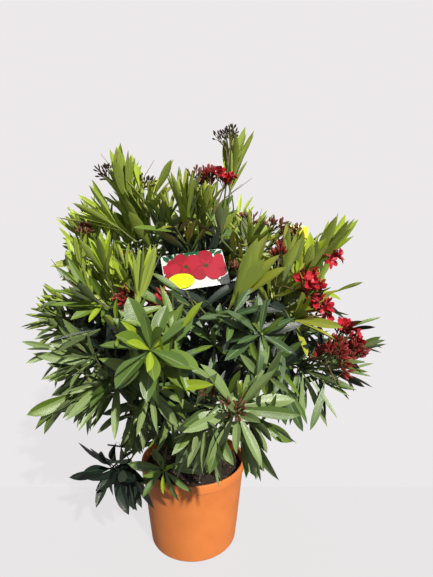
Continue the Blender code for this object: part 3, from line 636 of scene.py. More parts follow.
def make_limbs(kind, sides):
    bm = bmesh.new()
    for name, course in limb_courses.items():
        if name.startswith(kind):
            steps = max(6, round(length_of(walk(course, MEASURE_STEPS)) / RING_PITCH))
            bark_tube(bm, rounded_end(rooted(walk(course, steps))), sides)
    return bm


old_bark = grained_material("old_bark", (0.045, 0.037, 0.025), (0.125, 0.108, 0.075), (0.65, 0.9), 90, 0.6,
                            0.0008, stretch=5)
young_bark = grained_material("young_bark", (0.075, 0.08, 0.03), (0.15, 0.155, 0.06), (0.5, 0.75), 120,
                              0.4, 0.0005, stretch=5)
canes = [cane.name for cane in CANES]
boughs = ["bough_" + row.name for row in MASSES]
add_piece("trunk_bark", mesh_of(make_trunk()), [old_bark], "bark", ["trunk"])
add_piece("cane_bark", mesh_of(make_limbs("cane", CANE_SIDES)), [old_bark], "bark", canes)
add_piece("bough_bark", mesh_of(make_limbs("bough", BOUGH_SIDES)), [young_bark], "bark", boughs)

# %% [markdown]
# Now the shoots, by the source's own rule. Each mass has a space of its own, which is what lies nearer to
# its middle than to any other mass's. Its walls are the planes half-way between middles, so the test is one
# dot product for each wall. The tests use the coarse curves, so that the choices come out as they did for
# the solids. Pot, compost, limbs and labels are one search tree, because near misses are asked for often.

# %% Spaces and obstacles
CELL_MIDDLE = 0.04
CLEARANCE = 0.0008
SPACE_SLACK = 0.012


def search_tree(items):
    """One search tree over the meshes of several nodes."""
    verts, polygons = [], []
    for item in items:
        offset = len(verts)
        verts += [vert.co.copy() for vert in item.data.vertices]
        polygons += [[offset + index for index in face.vertices] for face in item.data.polygons]
    return BVHTree.FromPolygons(verts, polygons)


def tube_tree(stations):
    bm = bmesh.new()
    add_tube(bm, stations, 3)
    tree = BVHTree.FromBMesh(bm)
    bm.free()
    return tree


def place_along(stations, back):
    """Point, heading and radius at a distance back from the last station."""
    for after, before in zip(stations[::-1], stations[-2::-1]):
        stride = (after.centre - before.centre).length
        if back <= stride:
            share = back / stride
            return Station(after.centre.lerp(before.centre, share),
                           after.heading.lerp(before.heading, share).normalized(),
                           after.radius + (before.radius - after.radius) * share)
        back -= stride
    return stations[0]


def walls_of(name):
    """The walls of a mass's space: the planes half-way to each other mass."""
    own = centres[name]
    return [((own + other) / 2, (other - own).normalized()) for key, other in centres.items() if key != name]


def inside(points, walls, slack):
    return all((point - middle).dot(normal) < slack for point in points for middle, normal in walls)


def clear(points, distance):
    return all(obstacles.find_nearest(point, distance)[0] is None for point in points)


obstacles = search_tree([item for name, item in nodes.items() if not name.startswith("mass_")])
coarse_stems = {name: walk(course, COURSE_STEPS - BOUGH_STEPS) for name, course in stem_courses.items()}
stem_trees = [tube_tree(stem) for stem in coarse_stems.values()]
centres = {name: place_along(stem, CELL_MIDDLE).centre for name, stem in coarse_stems.items()}
print("spaces:", len(centres))

# %% [markdown]
# Side shoots leave a mass's stem a golden angle apart, which is how real shoots keep out of each other's
# light. Each is tried at a few bearings and lengths until it keeps to its space and clear of everything.

# %% Side shoots
SIDE_SHOOT_LENGTH = 0.105
SIDE_SHOOT_RADIUS = 0.0021
SHOOT_ZONE = (0.25, 0.75)
SHOOT_EVEN = 0.4
SHOOT_GAIN = 0.6
SHOOT_RISE = 0.1
SHOOT_SPLAYS, SHOOT_REACHES = (0.9, 1.15), (0.8, 1.15)
SHOOT_TURN_UP = 0.35
SHOOT_TRIES = ((0, 1), (25, 1), (-25, 1), (0, 0.75), (50, 0.9), (-50, 0.9), (0, 0.6), (90, 0.75))
GOLDEN_ANGLE = math.radians(137.5)


def sideways(heading, bearing):
    """The direction square to a heading at a bearing round it."""
    return Matrix.Rotation(bearing, 3, heading) @ heading.orthogonal().normalized()


def side_course(foot, bearing, splay, droop, reach, foot_radius):
    """A limb that leaves its foot at a bearing round it and a splay from it, and turns up."""
    way = foot.heading * math.cos(splay) + sideways(foot.heading, bearing) * math.sin(splay)
    aim = (way + UP * (SHOOT_TURN_UP - droop)).normalized()
    end = foot.centre + way * reach + UP * reach * SHOOT_RISE
    return Course(foot.centre, way, end, aim, 0, 1, foot_radius, STEM_TIP_RADIUS)


def shoot_fits(shoot, walls):
    """The same test of a side shoot as for the solids."""
    points = [station.centre for station in shoot[1:]]
    if not inside(points, walls, -CLEARANCE) or not clear(points, CLEARANCE * 2):
        return False
    if tube_tree(shoot).overlap(obstacles):
        return False
    young = tube_tree(shoot[1:])
    return not any(young.overlap(stem) for stem in stem_trees)


def grow_shoots(row):
    """The courses of a mass's stem and of its side shoots."""
    draw = random.Random(SEED + MASSES.index(row))
    walls = walls_of(row.name)
    stem = coarse_stems[row.name]
    length = length_of(stem)
    low, high = SHOOT_ZONE
    grown = [stem_courses[row.name]]
    for index in range(row.shoots):
        share = low + (high - low) * (index + 0.5) / row.shoots
        foot = place_along(stem, length * share)
        splay = math.radians(row.splay) * draw.uniform(*SHOOT_SPLAYS)
        full_reach = SIDE_SHOOT_LENGTH * draw.uniform(*SHOOT_REACHES)
        full_reach += length * (share - SHOOT_EVEN) * SHOOT_GAIN
        for turn, trim in SHOOT_TRIES:
            bearing = math.radians(row.turn + turn) + index * GOLDEN_ANGLE
            course = side_course(foot, bearing, splay, row.droop, full_reach * trim, SIDE_SHOOT_RADIUS)
            if shoot_fits(walk(course, 2), walls):
                grown.append(course)
                break
    return grown


shoots = {row.name: grow_shoots(row) for row in MASSES}
print("shoots:", sum(map(len, shoots.values())))

# %% [markdown]
# Twiglets make the crown dense. The outer ones stand on the shoots of a mass and keep to its space. The
# inner ones stand on boughs and on the upper part of the canes, and later bear the near-black leaves of the
# crown's heart, without which one would see through it; their near-black is painted shade.

# %% Twiglets
TWIGLET_LENGTH = 0.062
TWIGLET_RADIUS = 0.0015
TWIGLET_SPLAY = math.radians(46)
TWIGLET_PITCH = 0.055
TWIGLET_ZONE = (0.3, 0.8)
TWIGLET_SPLAYS, TWIGLET_REACHES = (0.8, 1.2), (0.7, 1.2)
INNER_LENGTH = 0.08
INNER_PITCH = 0.03
LEAFY_BOUGH = (0.0, 0.75)
LEAFY_FOOT = (0.05, 0.5)
LEAFY_CANE = (0.4, 1.0)
ROSETTE_OPENING = 60


def grow_twiglets(row, bearers, pitch, reach, walls, draw):
    """Twiglets along each bearer, turned a golden angle from one to the next."""
    grown = []
    for bearer, (low, high) in bearers:
        stations = walk(bearer, MEASURE_STEPS)
        length = length_of(stations)
        count = round(length * (high - low) / pitch)
        bearing = draw.uniform(0, math.tau)
        for index in range(count):
            foot = place_along(stations, length * (low + (high - low) * (index + 0.5) / count))
            bearing += GOLDEN_ANGLE
            splay = TWIGLET_SPLAY * draw.uniform(*TWIGLET_SPLAYS)
            own_reach = reach * draw.uniform(*TWIGLET_REACHES)
            course = side_course(foot, bearing, splay, row.droop, own_reach, TWIGLET_RADIUS)
            points = [station.centre for station in walk(course, 4)[1:]]
            if inside(points, walls, SPACE_SLACK / 2) and clear(points, CLEARANCE * 2):
                grown.append(course)
    return grown


twiglets, inner_twiglets, leafy_canes = {}, {}, set()
for row in MASSES:
    draw = random.Random(SEED * 7 + MASSES.index(row))
    bearers = [(shoot, TWIGLET_ZONE) for shoot in shoots[row.name] if row.twiglets]
    twiglets[row.name] = grow_twiglets(row, bearers, TWIGLET_PITCH / max(1, row.twiglets), TWIGLET_LENGTH,
                                       walls_of(row.name), draw)
    inner_bearers = [(limb_courses["bough_" + row.name], LEAFY_BOUGH)]
    if row.open > ROSETTE_OPENING:
        inner_bearers += [(shoot, LEAFY_FOOT) for shoot in shoots[row.name]]
    if row.carrier != "trunk" and row.carrier not in leafy_canes:
        leafy_canes.add(row.carrier)
        inner_bearers.append((limb_courses[row.carrier], LEAFY_CANE))
    inner_twiglets[row.name] = grow_twiglets(row, inner_bearers, INNER_PITCH, INNER_LENGTH, [], draw)
print("twiglets, outer and inner:", *(sum(map(len, kind.values())) for kind in (twiglets, inner_twiglets)))

# %% [markdown]
# Chance alone gives an even hedge. On a real bush a few sprays stand out: an upright bundle at the top, a
# wide star of leaves where a shoot faces the light. These are a table for each mass: where a spray's tip is
# and which way that points, then how many rings of leaves it has, their length, width and opening, and
# their greens. The last rows of some masses fill the middle and the sides. Each spray grows on a stem of
# its own, which leaves the mass's shoots where it has to bend least.

# %% Sprays that stand out
SPRAY_STEM = 0.065
SPRAY_BEND = 0.03
BEARER_STEPS = 10
Spray = namedtuple("Spray", "mass tip way rings length width open greens")
SPRAYS = [Spray(mass, *row)._replace(tip=metres(row[0]), length=metres(row[3]), width=metres(row[4]))
          for mass, group in {
    "leader": (
        ((89, 0, 836), (0.22, 0, 1), 5, 130, 24, 8, "lime"),
    ),
    "high_left": (
        ((-124, -70, 798), (0.05, -0.15, 1), 5, 118, 23, 14, "lime"),
        ((-152, -60, 737), (-0.75, -0.2, 0.65), 4, 130, 19, 26, "lime"),
        ((-52, -75, 735), (-0.1, -0.2, 1), 4, 100, 20, 30, "fresh"),
        ((-76, -75, 772), (0.25, -0.3, 0.9), 3, 95, 21, 48, "olive"),
        ((-66, -75, 796), (0.35, -0.15, 1), 1, 120, 36, 12, "lime"),
    ),
    "high_centre": (
        ((-3, -105, 756), (-0.03, -0.1, 1), 5, 118, 17, 13, "olive"),
        ((35, -95, 768), (0.1, -0.25, 1), 3, 80, 23, 26, "olive"),
        ((-38, -90, 748), (-0.05, -0.2, 1), 3, 80, 19, 24, "olive"),
    ),
    "high_right": (
        ((64, -95, 722), (0.55, -0.25, 0.8), 3, 100, 24, 26, "fresh"),
        ((122, -100, 703), (0.1, -0.2, 1), 4, 90, 18, 20, "olive"),
        ((125, 20, 695), (0.3, 0.1, 1), 5, 105, 22, 45, "olive"),
    ),
    "upper_left": (
        ((-207, -30, 707), (-0.35, -0.25, 0.9), 4, 110, 20, 26, "lime"),
        ((-120, 0, 690), (-0.1, -0.1, 1), 4, 100, 21, 45, "fresh"),
    ),
    "left_shoulder": (
        ((-179, -140, 600), (-0.2, -0.3, 1), 4, 110, 21, 30, "fresh"),
        ((-205, -125, 647), (-0.15, -0.2, 1), 4, 115, 24, 20, "lime"),
        ((-152, -145, 655), (0, -0.2, 1), 3, 105, 21, 17, "lime"),
    ),
    "left_edge": (
        ((-173, -105, 589), (-0.8, -0.45, 0.3), 4, 105, 22, 42, "fresh"),
        ((-268, -65, 515), (-0.6, -0.4, 0.6), 3, 80, 18, 38, "grey"),
        ((-277, -60, 542), (-0.9, -0.3, 0.1), 4, 95, 17, 34, "fresh"),
        ((-262, -60, 580), (-0.85, -0.3, 0.35), 3, 80, 17, 26, "fresh"),
        ((-160, -165, 544), (-1, -0.3, -0.25), 1, 135, 52, 12, "grey"),
        ((-225, 75, 470), (-1, 0.3, 0), 5, 105, 22, 60, "grey"),
    ),
    "left_low": (
        ((-210, -170, 424), (-0.72, -0.35, -0.65), 1, 160, 72, 12, "grey"),
        ((-184, -160, 488), (-0.85, -0.4, 0.05), 4, 115, 23, 36, "grey"),
        ((-137, -180, 456), (-0.75, -0.4, -0.45), 5, 140, 21, 30, "grey"),
        ((-186, -165, 418), (-0.45, -0.4, -0.8), 4, 105, 22, 34, "grey"),
    ),
    "left_hanging": (
        ((-90, -150, 370), (-0.15, -0.5, -0.8), 5, 95, 21, 46, "grey"),
        ((6, -200, 356), (-0.1, -0.5, -0.8), 5, 95, 21, 46, "grey"),
        ((-25, -220, 400), (-0.1, -0.4, -0.9), 4, 100, 21, 38, "grey"),
        ((-132, -190, 428), (-0.25, -0.35, -0.9), 4, 105, 22, 28, "grey"),
        ((-59, -240, 461), (-0.15, -0.5, -0.7), 5, 120, 20, 42, "grey"),
        ((-112, -125, 325), (-0.25, -0.5, -0.8), 3, 80, 22, 40, "grey"),
    ),
    "front_rosette": (
        ((-73, -250, 619), (-0.12, -0.2, 1), 5, 120, 17, 11, "lime"),
        ((-48, -240, 612), (0.55, -0.2, 0.75), 1, 120, 44, 12, "olive"),
        ((-44, -325, 554), (-0.02, -1, 0.3), 5, 90, 29, 80, "glossy"),
        ((-46, -318, 553), (-0.1, -1, 0.3), 2, 120, 50, 84, "glossy"),
    ),
    "front_low": (
        ((45, -250, 375), (-0.35, -0.4, -0.9), 4, 105, 22, 36, "grey"),
        ((37, -300, 430), (-0.4, -0.5, -0.75), 4, 110, 23, 40, "grey"),
        ((86, -335, 461), (0, -1, 0), 5, 110, 25, 84, "grey"),
        ((91, -315, 475), (0, -0.3, 1), 2, 60, 14, 24, "lime"),
        ((93, -295, 418), (0.22, -0.4, -0.9), 2, 130, 38, 13, "grey"),
        ((110, -280, 418), (0.25, -0.3, -0.9), 3, 85, 26, 26, "grey"),
        ((133, -250, 405), (0.75, -0.3, -0.55), 1, 110, 50, 14, "grey"),
    ),
    "centre": (
        ((52, -240, 537), (0, -1, 0.3), 4, 85, 20, 78, "deep"),
        ((86, -215, 609), (0.55, -0.25, 0.8), 3, 150, 33, 13, "olive"),
        ((127, -285, 568), (0.1, -1, 0.35), 5, 88, 19, 80, "deep"),
        ((82, -255, 593), (-0.1, -1, 0.4), 4, 78, 18, 78, "deep"),
    ),
    "right_front": (
        ((180, -150, 650), (0.05, -0.15, 1), 5, 115, 17, 14, "olive"),
        ((222, -150, 645), (0.03, -0.15, 1), 2, 120, 40, 9, "lime"),
        ((202, -175, 568), (0.35, -0.5, 0.75), 3, 100, 28, 38, "tinted"),
    ),
    "right_shoulder": (
        ((218, -60, 662), (0.1, -0.15, 1), 4, 95, 17, 16, "olive"),
        ((255, -60, 660), (0.22, -0.15, 0.97), 4, 135, 21, 18, "lime"),
        ((262, -60, 647), (0.5, -0.12, 0.87), 3, 172, 30, 13, "lime"),
    ),
    "right_low": (
        ((231, -150, 457), (0.88, -0.35, -0.15), 6, 130, 17, 52, "grey"),
        ((318, -130, 488), (0.8, -0.3, 0.5), 1, 110, 34, 12, "deep"),
        ((272, -130, 414), (0.85, -0.3, -0.35), 2, 85, 24, 20, "deep"),
        ((235, 30, 440), (1, 0.35, 0.1), 5, 105, 22, 60, "deep"),
    ),
    "back_left_low": (
        ((-200, 120, 430), (-1, 0.1, -0.1), 5, 105, 22, 60, "grey"),
    ),
    "back_top": (
        ((-75, 30, 715), (-0.3, 0.1, 1), 5, 110, 22, 50, "fresh"),
        ((30, 20, 735), (0.1, 0, 1), 5, 105, 22, 45, "fresh"),
    ),
    "back_right": (
        ((150, 70, 630), (0.4, 0.2, 1), 5, 110, 22, 50, "olive"),
    ),
    "back_right_low": (
        ((215, 110, 430), (1, 0.1, 0), 5, 105, 22, 60, "grey"),
    ),
    # pot_left's star stands in shadow, and its dark greens are painted shade.
    "pot_left": (
        ((-165, -115, 232), (-0.05, -1, 0.1), 7, 120, 36, 82, "dark"),
        ((-128, -115, 234), (0.05, -0.45, -0.9), 4, 110, 32, 44, "dark"),
    ),
    "pot_front": (
        ((-58, -120, 330), (-0.1, -0.7, 0.1), 4, 80, 20, 70, "deep"),
        ((-48, -175, 264), (0.02, -1, 0.45), 4, 84, 22, 80, "glossy"),
    ),
}.items() for row in group]


def spray_course(spray):
    """The stem of a spray, from the place on its mass's shoots that suits its length and bends least."""
    tip, way = Vector(spray.tip), Vector(spray.way).normalized()
    bearers = shoots[spray.mass] + [limb_courses["bough_" + spray.mass]]
    places = [station for course in bearers for station in walk(course, BEARER_STEPS)[1:]]
    foot = min(places, key=lambda place: abs((tip - place.centre).length - SPRAY_STEM)
               - SPRAY_BEND * (place.heading + way).dot((tip - place.centre).normalized()))
    return Course(foot.centre, foot.heading, tip, way, 0, 1, SIDE_SHOOT_RADIUS, STEM_TIP_RADIUS)


spray_courses = [spray_course(spray) for spray in SPRAYS]
longest = max((course.end - course.start).length for course in spray_courses)
print("sprays:", len(SPRAYS), "longest stem", round(longest, 3))

# %% [markdown]
# Thousands of small things are alike, so each kind is made once, as a template with the usual bmesh
# operators. Its points are read as numbers, and array arithmetic lays them on the frame of every copy at
# once. Copies as objects would be lost in an export, and a modifier for each would be slow.

# %% Templates, and meshes joined from their copies
Template = namedtuple("Template", "points faces kinds")


def template_of(bm):
    """A bmesh as a template: its points, its triangles, and which kind each triangle is."""
    triangles = bmesh.ops.triangulate(bm, faces=bm.faces)["faces"]
    bm.verts.index_update()
    points = np.array([vert.co for vert in bm.verts])
    faces = np.array([[vert.index for vert in face.verts] for face in triangles])
    kinds = np.array([face.material_index for face in triangles])
    bm.free()
    return Template(points, faces, kinds)


def joined_mesh(template, places, slots, map_name=None, sharp=70):
    """One mesh of every copy of a template. slots gives each copy's material for each kind of face."""
    copies, count = places.shape[:2]
    faces = (template.faces[None] + (np.arange(copies) * count)[:, None, None]).reshape(-1, 3)
    mesh = bpy.data.meshes.new("copies")
    mesh.vertices.add(copies * count)
    mesh.vertices.foreach_set("co", places.reshape(-1).astype(np.float32))
    mesh.loops.add(faces.size)
    mesh.loops.foreach_set("vertex_index", faces.reshape(-1).astype(np.int32))
    mesh.polygons.add(len(faces))
    mesh.polygons.foreach_set("loop_start", np.arange(0, faces.size, 3, dtype=np.int32))
    mesh.polygons.foreach_set("material_index", slots[:, template.kinds].reshape(-1).astype(np.int32))
    mesh.update(calc_edges=True)
    mesh.validate()
    if map_name:
        spots = template.points[template.faces.reshape(-1), :2] * (0.5, 1) + (0.5, 0)
        layer = mesh.uv_layers.new(name=map_name)
        layer.data.foreach_set("uv", np.tile(spots, (copies, 1)).reshape(-1).astype(np.float32))
    mesh.shade_smooth()
    mesh.set_sharp_from_angle(angle=math.radians(sharp))
    return mesh


def frame_of(things):
    """Feet, headings, upper sides and left sides of many things, shaped to spread over their points."""
    foot, heading, upper = (np.array([getattr(thing, field) for thing in things], float)[:, None, :]
                            for field in ("foot", "heading", "upper"))
    return foot, heading, upper, np.cross(heading, upper)


def column(things, *fields):
    return (np.array([getattr(thing, field) for thing in things], float)[:, None, None] for field in fields)


print("a template has", *Template._fields)

# %% [markdown]
# Twigs and flower stalks are such copies too. Their template is a tube whose points know their bearing and
# their ring, and each ring is laid on one station of its twig. All tubes of a piece have as many stations.

# %% Tubes laid from a template
def tube_template(rings, sides):
    bm = bmesh.new()
    add_tube(bm, [Station(Vector((0, 0, ring)), UP, 1) for ring in range(rings)], sides)
    return template_of(bm)


def lay_tubes(template, runs):
    """Lay a tube template on many runs of stations, each ring square to its station's heading."""
    ring = np.rint(template.points[:, 2]).astype(int)
    centre, heading, radius = (np.array([[getattr(station, field) for station in run] for run in runs])
                               for field in Station._fields)
    radius = radius[:, ring, None]
    start = np.array([run[0].heading.orthogonal().normalized() for run in runs])[:, None, :]
    side = start - heading * (heading * start).sum(2, keepdims=True)
    side /= np.linalg.norm(side, axis=2, keepdims=True)
    other = np.cross(heading, side)
    return (centre[:, ring] + side[:, ring] * radius * template.points[None, :, 0, None]
            + other[:, ring] * radius * template.points[None, :, 1, None])


def tubes_mesh(runs, sides):
    template = tube_template(len(runs[0]), sides)
    return joined_mesh(template, lay_tubes(template, runs), np.zeros((len(runs), 1), int))


print("a tube of nine rings:", len(tube_template(9, 6).faces), "faces")

# %% [markdown]
# An oleander leaf is a long, leathery lance with a strong pale midrib. Its template is two grids, one for
# its upper and one for its under side, narrowed to the leaf's outline and welded along their edge. Each
# point is a pair of shares, across and along, with a sign for its side.

# %% One leaf as a template
LEAF_ROWS = 8
RIB_HALF = 0.055
BLADE, RIB, UNDER = range(3)


def leaf_template():
    bm = bmesh.new()
    bends = {-1: -1, -0.6: -0.56, -0.2: -RIB_HALF, 0.2: RIB_HALF, 0.6: 0.56, 1: 1}
    upper = bmesh.ops.create_grid(bm, x_segments=5, y_segments=LEAF_ROWS, size=1)["verts"]
    for face in bm.faces:
        face.material_index = RIB if abs(face.calc_center_median().x) < 0.1 else BLADE
    for vert in upper:
        vert.co.x = bends[round(vert.co.x, 1)]
        vert.co.z = 0 if abs(vert.co.x) == 1 else 1
    lower = bmesh.ops.create_grid(bm, x_segments=2, y_segments=LEAF_ROWS, size=1)["verts"]
    for vert in lower:
        vert.co.z = 0 if abs(vert.co.x) == 1 else -1
    under = {face for vert in lower for face in vert.link_faces}
    bmesh.ops.reverse_faces(bm, faces=list(under))
    for face in under:
        face.material_index = UNDER
    for vert in bm.verts:
        vert.co.y = (vert.co.y + 1) / 2
        if vert.co.y > 0.999:
            vert.co.x = 0
        if vert.co.y < 0.001 or vert.co.y > 0.999:
            vert.co.z = 0
    bmesh.ops.remove_doubles(bm, verts=bm.verts, dist=1e-5)
    return template_of(bm)


LEAF = leaf_template()
print("leaf template:", len(LEAF.points), "points,", len(LEAF.faces), "faces")

# %% [markdown]
# Laying leaves. Each leaf has a foot, a heading and an upper side, plus its length, width and four small
# habits: how far its halves fold up, how far its tip curls down, how it sweeps to one side and how it
# twists. The widest place is a little past the middle, and a short petiole is left at the foot.

# %% Laying many leaves at once
Leaf = namedtuple("Leaf", "foot heading upper length width fold curl sweep twist tone")
LEAF_THICKNESS = 0.0005
RIB_KEEL = 0.0011
LEAF_SHARPNESS = 0.82
LEAF_WIDEST = 1.38
PETIOLE = 0.1


def outline(along):
    """Half width of a leaf at each share of its length, as a share of its greatest half width."""
    lance = np.sin(math.pi * np.clip(along, 0, 1) ** LEAF_WIDEST)
    return np.maximum(np.maximum(lance, 0) ** LEAF_SHARPNESS, np.where(along < 0.5, PETIOLE, 0))


def lay_leaves(leaves):
    foot, heading, upper, side = frame_of(leaves)
    length, width, fold, curl, sweep, twist = column(leaves, *Leaf._fields[3:9])
    across_share, along, depth = (LEAF.points[None, :, axis, None] for axis in range(3))
    half = outline(along) * width / 2
    across = across_share * half
    lift = fold * (np.abs(across) - 0.3 * across**2 / np.maximum(half, 1e-6))
    keel = np.where(np.abs(across_share) < 0.01, RIB_KEEL, LEAF_THICKNESS)
    lift = lift - np.where(depth < 0, keel * np.minimum(1, half / width * 4), 0)
    turn = twist * along
    return (foot + heading * length * (along - 0.35 * curl * along**2)
            - upper * length * curl * along**2 + side * length * sweep * along**2
            + side * (across * np.cos(turn) - lift * np.sin(turn))
            + upper * (across * np.sin(turn) + lift * np.cos(turn)))


print("widest at", round(0.5 ** (1 / LEAF_WIDEST), 2), "of a leaf's length")

# %% [markdown]
# Leaf colours. On this plant the youngest leaves are lime, those behind them fresh green, and the oldest
# deep green or grey green; some shoots are tinged olive. The grey green is partly the old leaves' own grey
# and partly a painted sheen of sky light on them. The near-black shade green is painted shade, for leaves
# that
# sit in shadow: the crown's heart, the low star by the pot and the oldest leaves of the deep shoots. Each
# colour is a plain material and is dealt out leaf by leaf, since a colour painted across thousands of leaves
# would slide about in an export. The midribs and the dull undersides are faces of their own, so each green
# names the rib and the underside it goes with; the near-black leaves get a rib and an underside of painted
# shade too.

# %% Leaf materials
GREENS = {
    "lime_tip": ((0.38, 0.49, 0.022), "young_rib", "lime_underside"),
    "fresh_green": ((0.3, 0.41, 0.022), "young_rib", "lime_underside"),
    "olive_tip": ((0.35, 0.365, 0.03), "young_rib", "lime_underside"),
    "olive_green": ((0.265, 0.295, 0.03), "old_rib", "lime_underside"),
    "russet_green": ((0.3, 0.205, 0.028), "young_rib", "lime_underside"),
    "mid_green": ((0.126, 0.2, 0.022), "old_rib", "green_underside"),
    "leaf_green": ((0.088, 0.152, 0.027), "old_rib", "green_underside"),
    # The grey green is partly the leaves' own grey and partly a painted sheen of sky light.
    "grey_green": ((0.18, 0.255, 0.082), "old_rib", "green_underside"),
    "deep_green": ((0.048, 0.094, 0.026), "old_rib", "deep_underside"),
    # The near-black shade green is painted shade, for leaves that sit in shadow.
    "shade_green": ((0.009, 0.019, 0.011), "dark_rib", "deep_underside"),
}
# The dark rib is painted shade, the rib of the near-black shaded leaves.
RIBS = {"young_rib": (0.36, 0.44, 0.12), "old_rib": (0.22, 0.29, 0.13), "dark_rib": (0.04, 0.062, 0.038)}
UNDERSIDES = {
    "lime_underside": ((0.3, 0.385, 0.055), 0.6),
    "green_underside": ((0.16, 0.215, 0.08), 0.62),
    # The deep underside is painted shade: near-black, as an underside turned from the light looks.
    "deep_underside": ((0.024, 0.038, 0.022), 0.66),
}
LEAF_GLOSS = 0.38
RIB_GLOSS = 0.45
LEAF_SPECULAR = 0.65


def leaf_material(name, colour, roughness, vein_depth):
    material = base_material(name, colour, roughness, LEAF_SPECULAR)
    veins = add_node(material.node_tree, "Group", node_tree=VEINS)
    add_bump(material, veins.outputs["Height"], vein_depth, 0.0003)
    return material


leaf_materials = [leaf_material(name, row[0], LEAF_GLOSS, 0.25) for name, row in GREENS.items()]
leaf_materials += [base_material(name, colour, RIB_GLOSS) for name, colour in RIBS.items()]
leaf_materials += [leaf_material(name, *row, 0.4) for name, row in UNDERSIDES.items()]
leaf_slot = {material.name: index for index, material in enumerate(leaf_materials)}
LEAF_SLOTS = {tone: (leaf_slot[tone], leaf_slot[rib], leaf_slot[under])
              for tone, (_, rib, under) in GREENS.items()}
print("leaf materials:", len(leaf_materials))

# %% [markdown]
# Where leaves may not be. A leaf that would run into the pot, the compost, a limb or a label is skipped,
# and so is one that would hide the face of a label. Round the crown's edge the sky shows through gaps: each
# is a cone from an onlooker's eye, in a row of millimetres. A spray that stands out is seen whole because a
# short tube from it towards the onlooker is kept free too.

# %% Labels, gaps and open views
Label = namedtuple("Label", "width height centre tilt turn roll bough")
LABEL_PICTURE = Label(0.122, 0.084, (0.014, -0.125, 0.652), 42, 4, 9, "high_centre")
LABEL_YELLOW = Label(0.056, 0.086, (0.232, 0.03, 0.69), 8, 6, -4, "right_shoulder")
LOOKOUT = Vector((0.05, -1, 0.08)).normalized()
LOOKOUT_REACH = 0.32
ONLOOKER = Vector((0.055, -0.946, 0.745))
SKY_GAPS = metres((  # the middle of each gap and its radius
    ((151, 0, 870), 27), ((-78, -50, 848), 18), ((-186, -60, 867), 22), ((-187, -60, 834), 16),
    ((-291, -30, 711), 20), ((-297, -30, 682), 20), ((-339, -50, 421), 19), ((-338, -50, 386), 16),
    ((-173, -120, 301), 20), ((342, -30, 684), 20), ((331, -30, 643), 38), ((352, -30, 577), 26),
    ((369, -100, 447), 9), ((365, -100, 390), 17), ((302, -100, 378), 14), ((161, -250, 348), 16),
))


def card_place(label):
    turn = (Matrix.Rotation(math.radians(label.turn), 4, "Z")
            @ Matrix.Rotation(math.radians(-label.tilt), 4, "X")
            @ Matrix.Rotation(math.radians(-label.roll), 4, "Y"))
    return Matrix.Translation(label.centre) @ turn


def lookout(label, left, right, low, high):
    """What a leaf is kept from: the way out from part of a card's face, in shares of its width and height."""
    view = card_place(label).inverted()
    part = (left * label.width, right * label.width, low * label.height, high * label.height)
    return view, view.to_3x3() @ LOOKOUT, part


def spray_lookout(spray):
    """The middle of a spray's leaves, the way from there to an onlooker, and how wide it is."""
    share = math.cos(math.radians(spray.open))
    centre = Vector(spray.tip) + Vector(spray.way).normalized() * spray.length * 0.5 * share
    return centre, (ONLOOKER - centre).normalized(), spray.length * 0.4


def sky_sight(centre, radius):
    """The way from an onlooker to a gap, and the least cosine of a way that still goes through it."""
    sight = Vector(centre) - ONLOOKER
    return sight.normalized(), math.cos(radius / sight.length)


def hides_label(point):
    for view, way, (left, right, low, high) in lookouts:
        local = view @ point
        out = local.y / way.y
        spot = local - way * out
        if 0 < out < LOOKOUT_REACH and left < spot.x < right and low < spot.z < high:
            return True
    return False


def in_sky_gap(point):
    """Whether a point lies in a gap where an onlooker sees the sky past the crown's edge."""
    sight = (point - ONLOOKER).normalized()
    return any(sight.dot(way) > least for way, least in gap_sights)


def shades_spray(point):
    """Whether a point hangs close in front of a spray that stands out."""
    for centre, way, radius in spray_lookouts:
        rise = point - centre
        out = rise.dot(way)
        if 0.01 < out < LOOKOUT_REACH and (rise - way * out).length < radius:
            return True
    return False


lookouts = (
    lookout(LABEL_PICTURE, -0.47, 0.47, -0.05, 0.4),
    lookout(LABEL_PICTURE, -0.22, 0.47, -0.48, -0.05),
    lookout(LABEL_YELLOW, -0.47, 0.47, 0.3, 0.5),
)
spray_lookouts = [spray_lookout(spray) for spray in SPRAYS if spray.tip[1] < 0]
gap_sights = [sky_sight(*gap) for gap in SKY_GAPS]
print("kept open:", len(lookouts), "label faces,", len(gap_sights), "gaps,", len(spray_lookouts), "sprays")

# %% [markdown]
# Growing leaves. Oleander leaves stand in threes, and each ring of three is turned against the one below.
# The rings crowd at the tip, where the leaves are short, upright and bright, and stand apart lower down,
# where they are long, open and dark. So everything about a leaf follows from its distance behind the tip.
# Chance varies every number a little, and now and then a leaf has dried and rolled up into a wisp that
# takes the near-black green of painted shade.

# %% A leaf from its distance behind the tip
FAMILIES = {family: tones.split() for family, tones in {  # from a shoot's youngest leaves to its oldest
    "lime": "lime_tip lime_tip fresh_green fresh_green olive_green",
    "fresh": "fresh_green fresh_green mid_green mid_green leaf_green",
    "glossy": "fresh_green mid_green leaf_green leaf_green leaf_green",
    "olive": "olive_tip olive_tip olive_green olive_green mid_green",
    "tinted": "olive_tip russet_green olive_tip olive_green olive_green",
    "grey": "mid_green grey_green grey_green grey_green leaf_green",
    # The dark and inner families, and the oldest leaves of the deep one, take the near-black green of painted
    # shade.
    "deep": "mid_green leaf_green deep_green deep_green shade_green",
    "dark": "deep_green shade_green shade_green shade_green shade_green",
    "inner": "deep_green shade_green shade_green shade_green shade_green",
}.items()}
OPENING_SHARE = 0.43
TIP_TILT = math.radians(12)
YOUNG_LENGTH, LENGTH_GAIN, LENGTH_SPREAD = 0.62, 0.38, (0.82, 1.08)
YOUNG_WIDTH, WIDTH_GAIN, WIDTH_SPREAD = 0.42, 0.58, (0.75, 1.12)
CURL, CURL_SPREAD, WIDEST_OPEN = 0.17, (-0.1, 1.3), 84
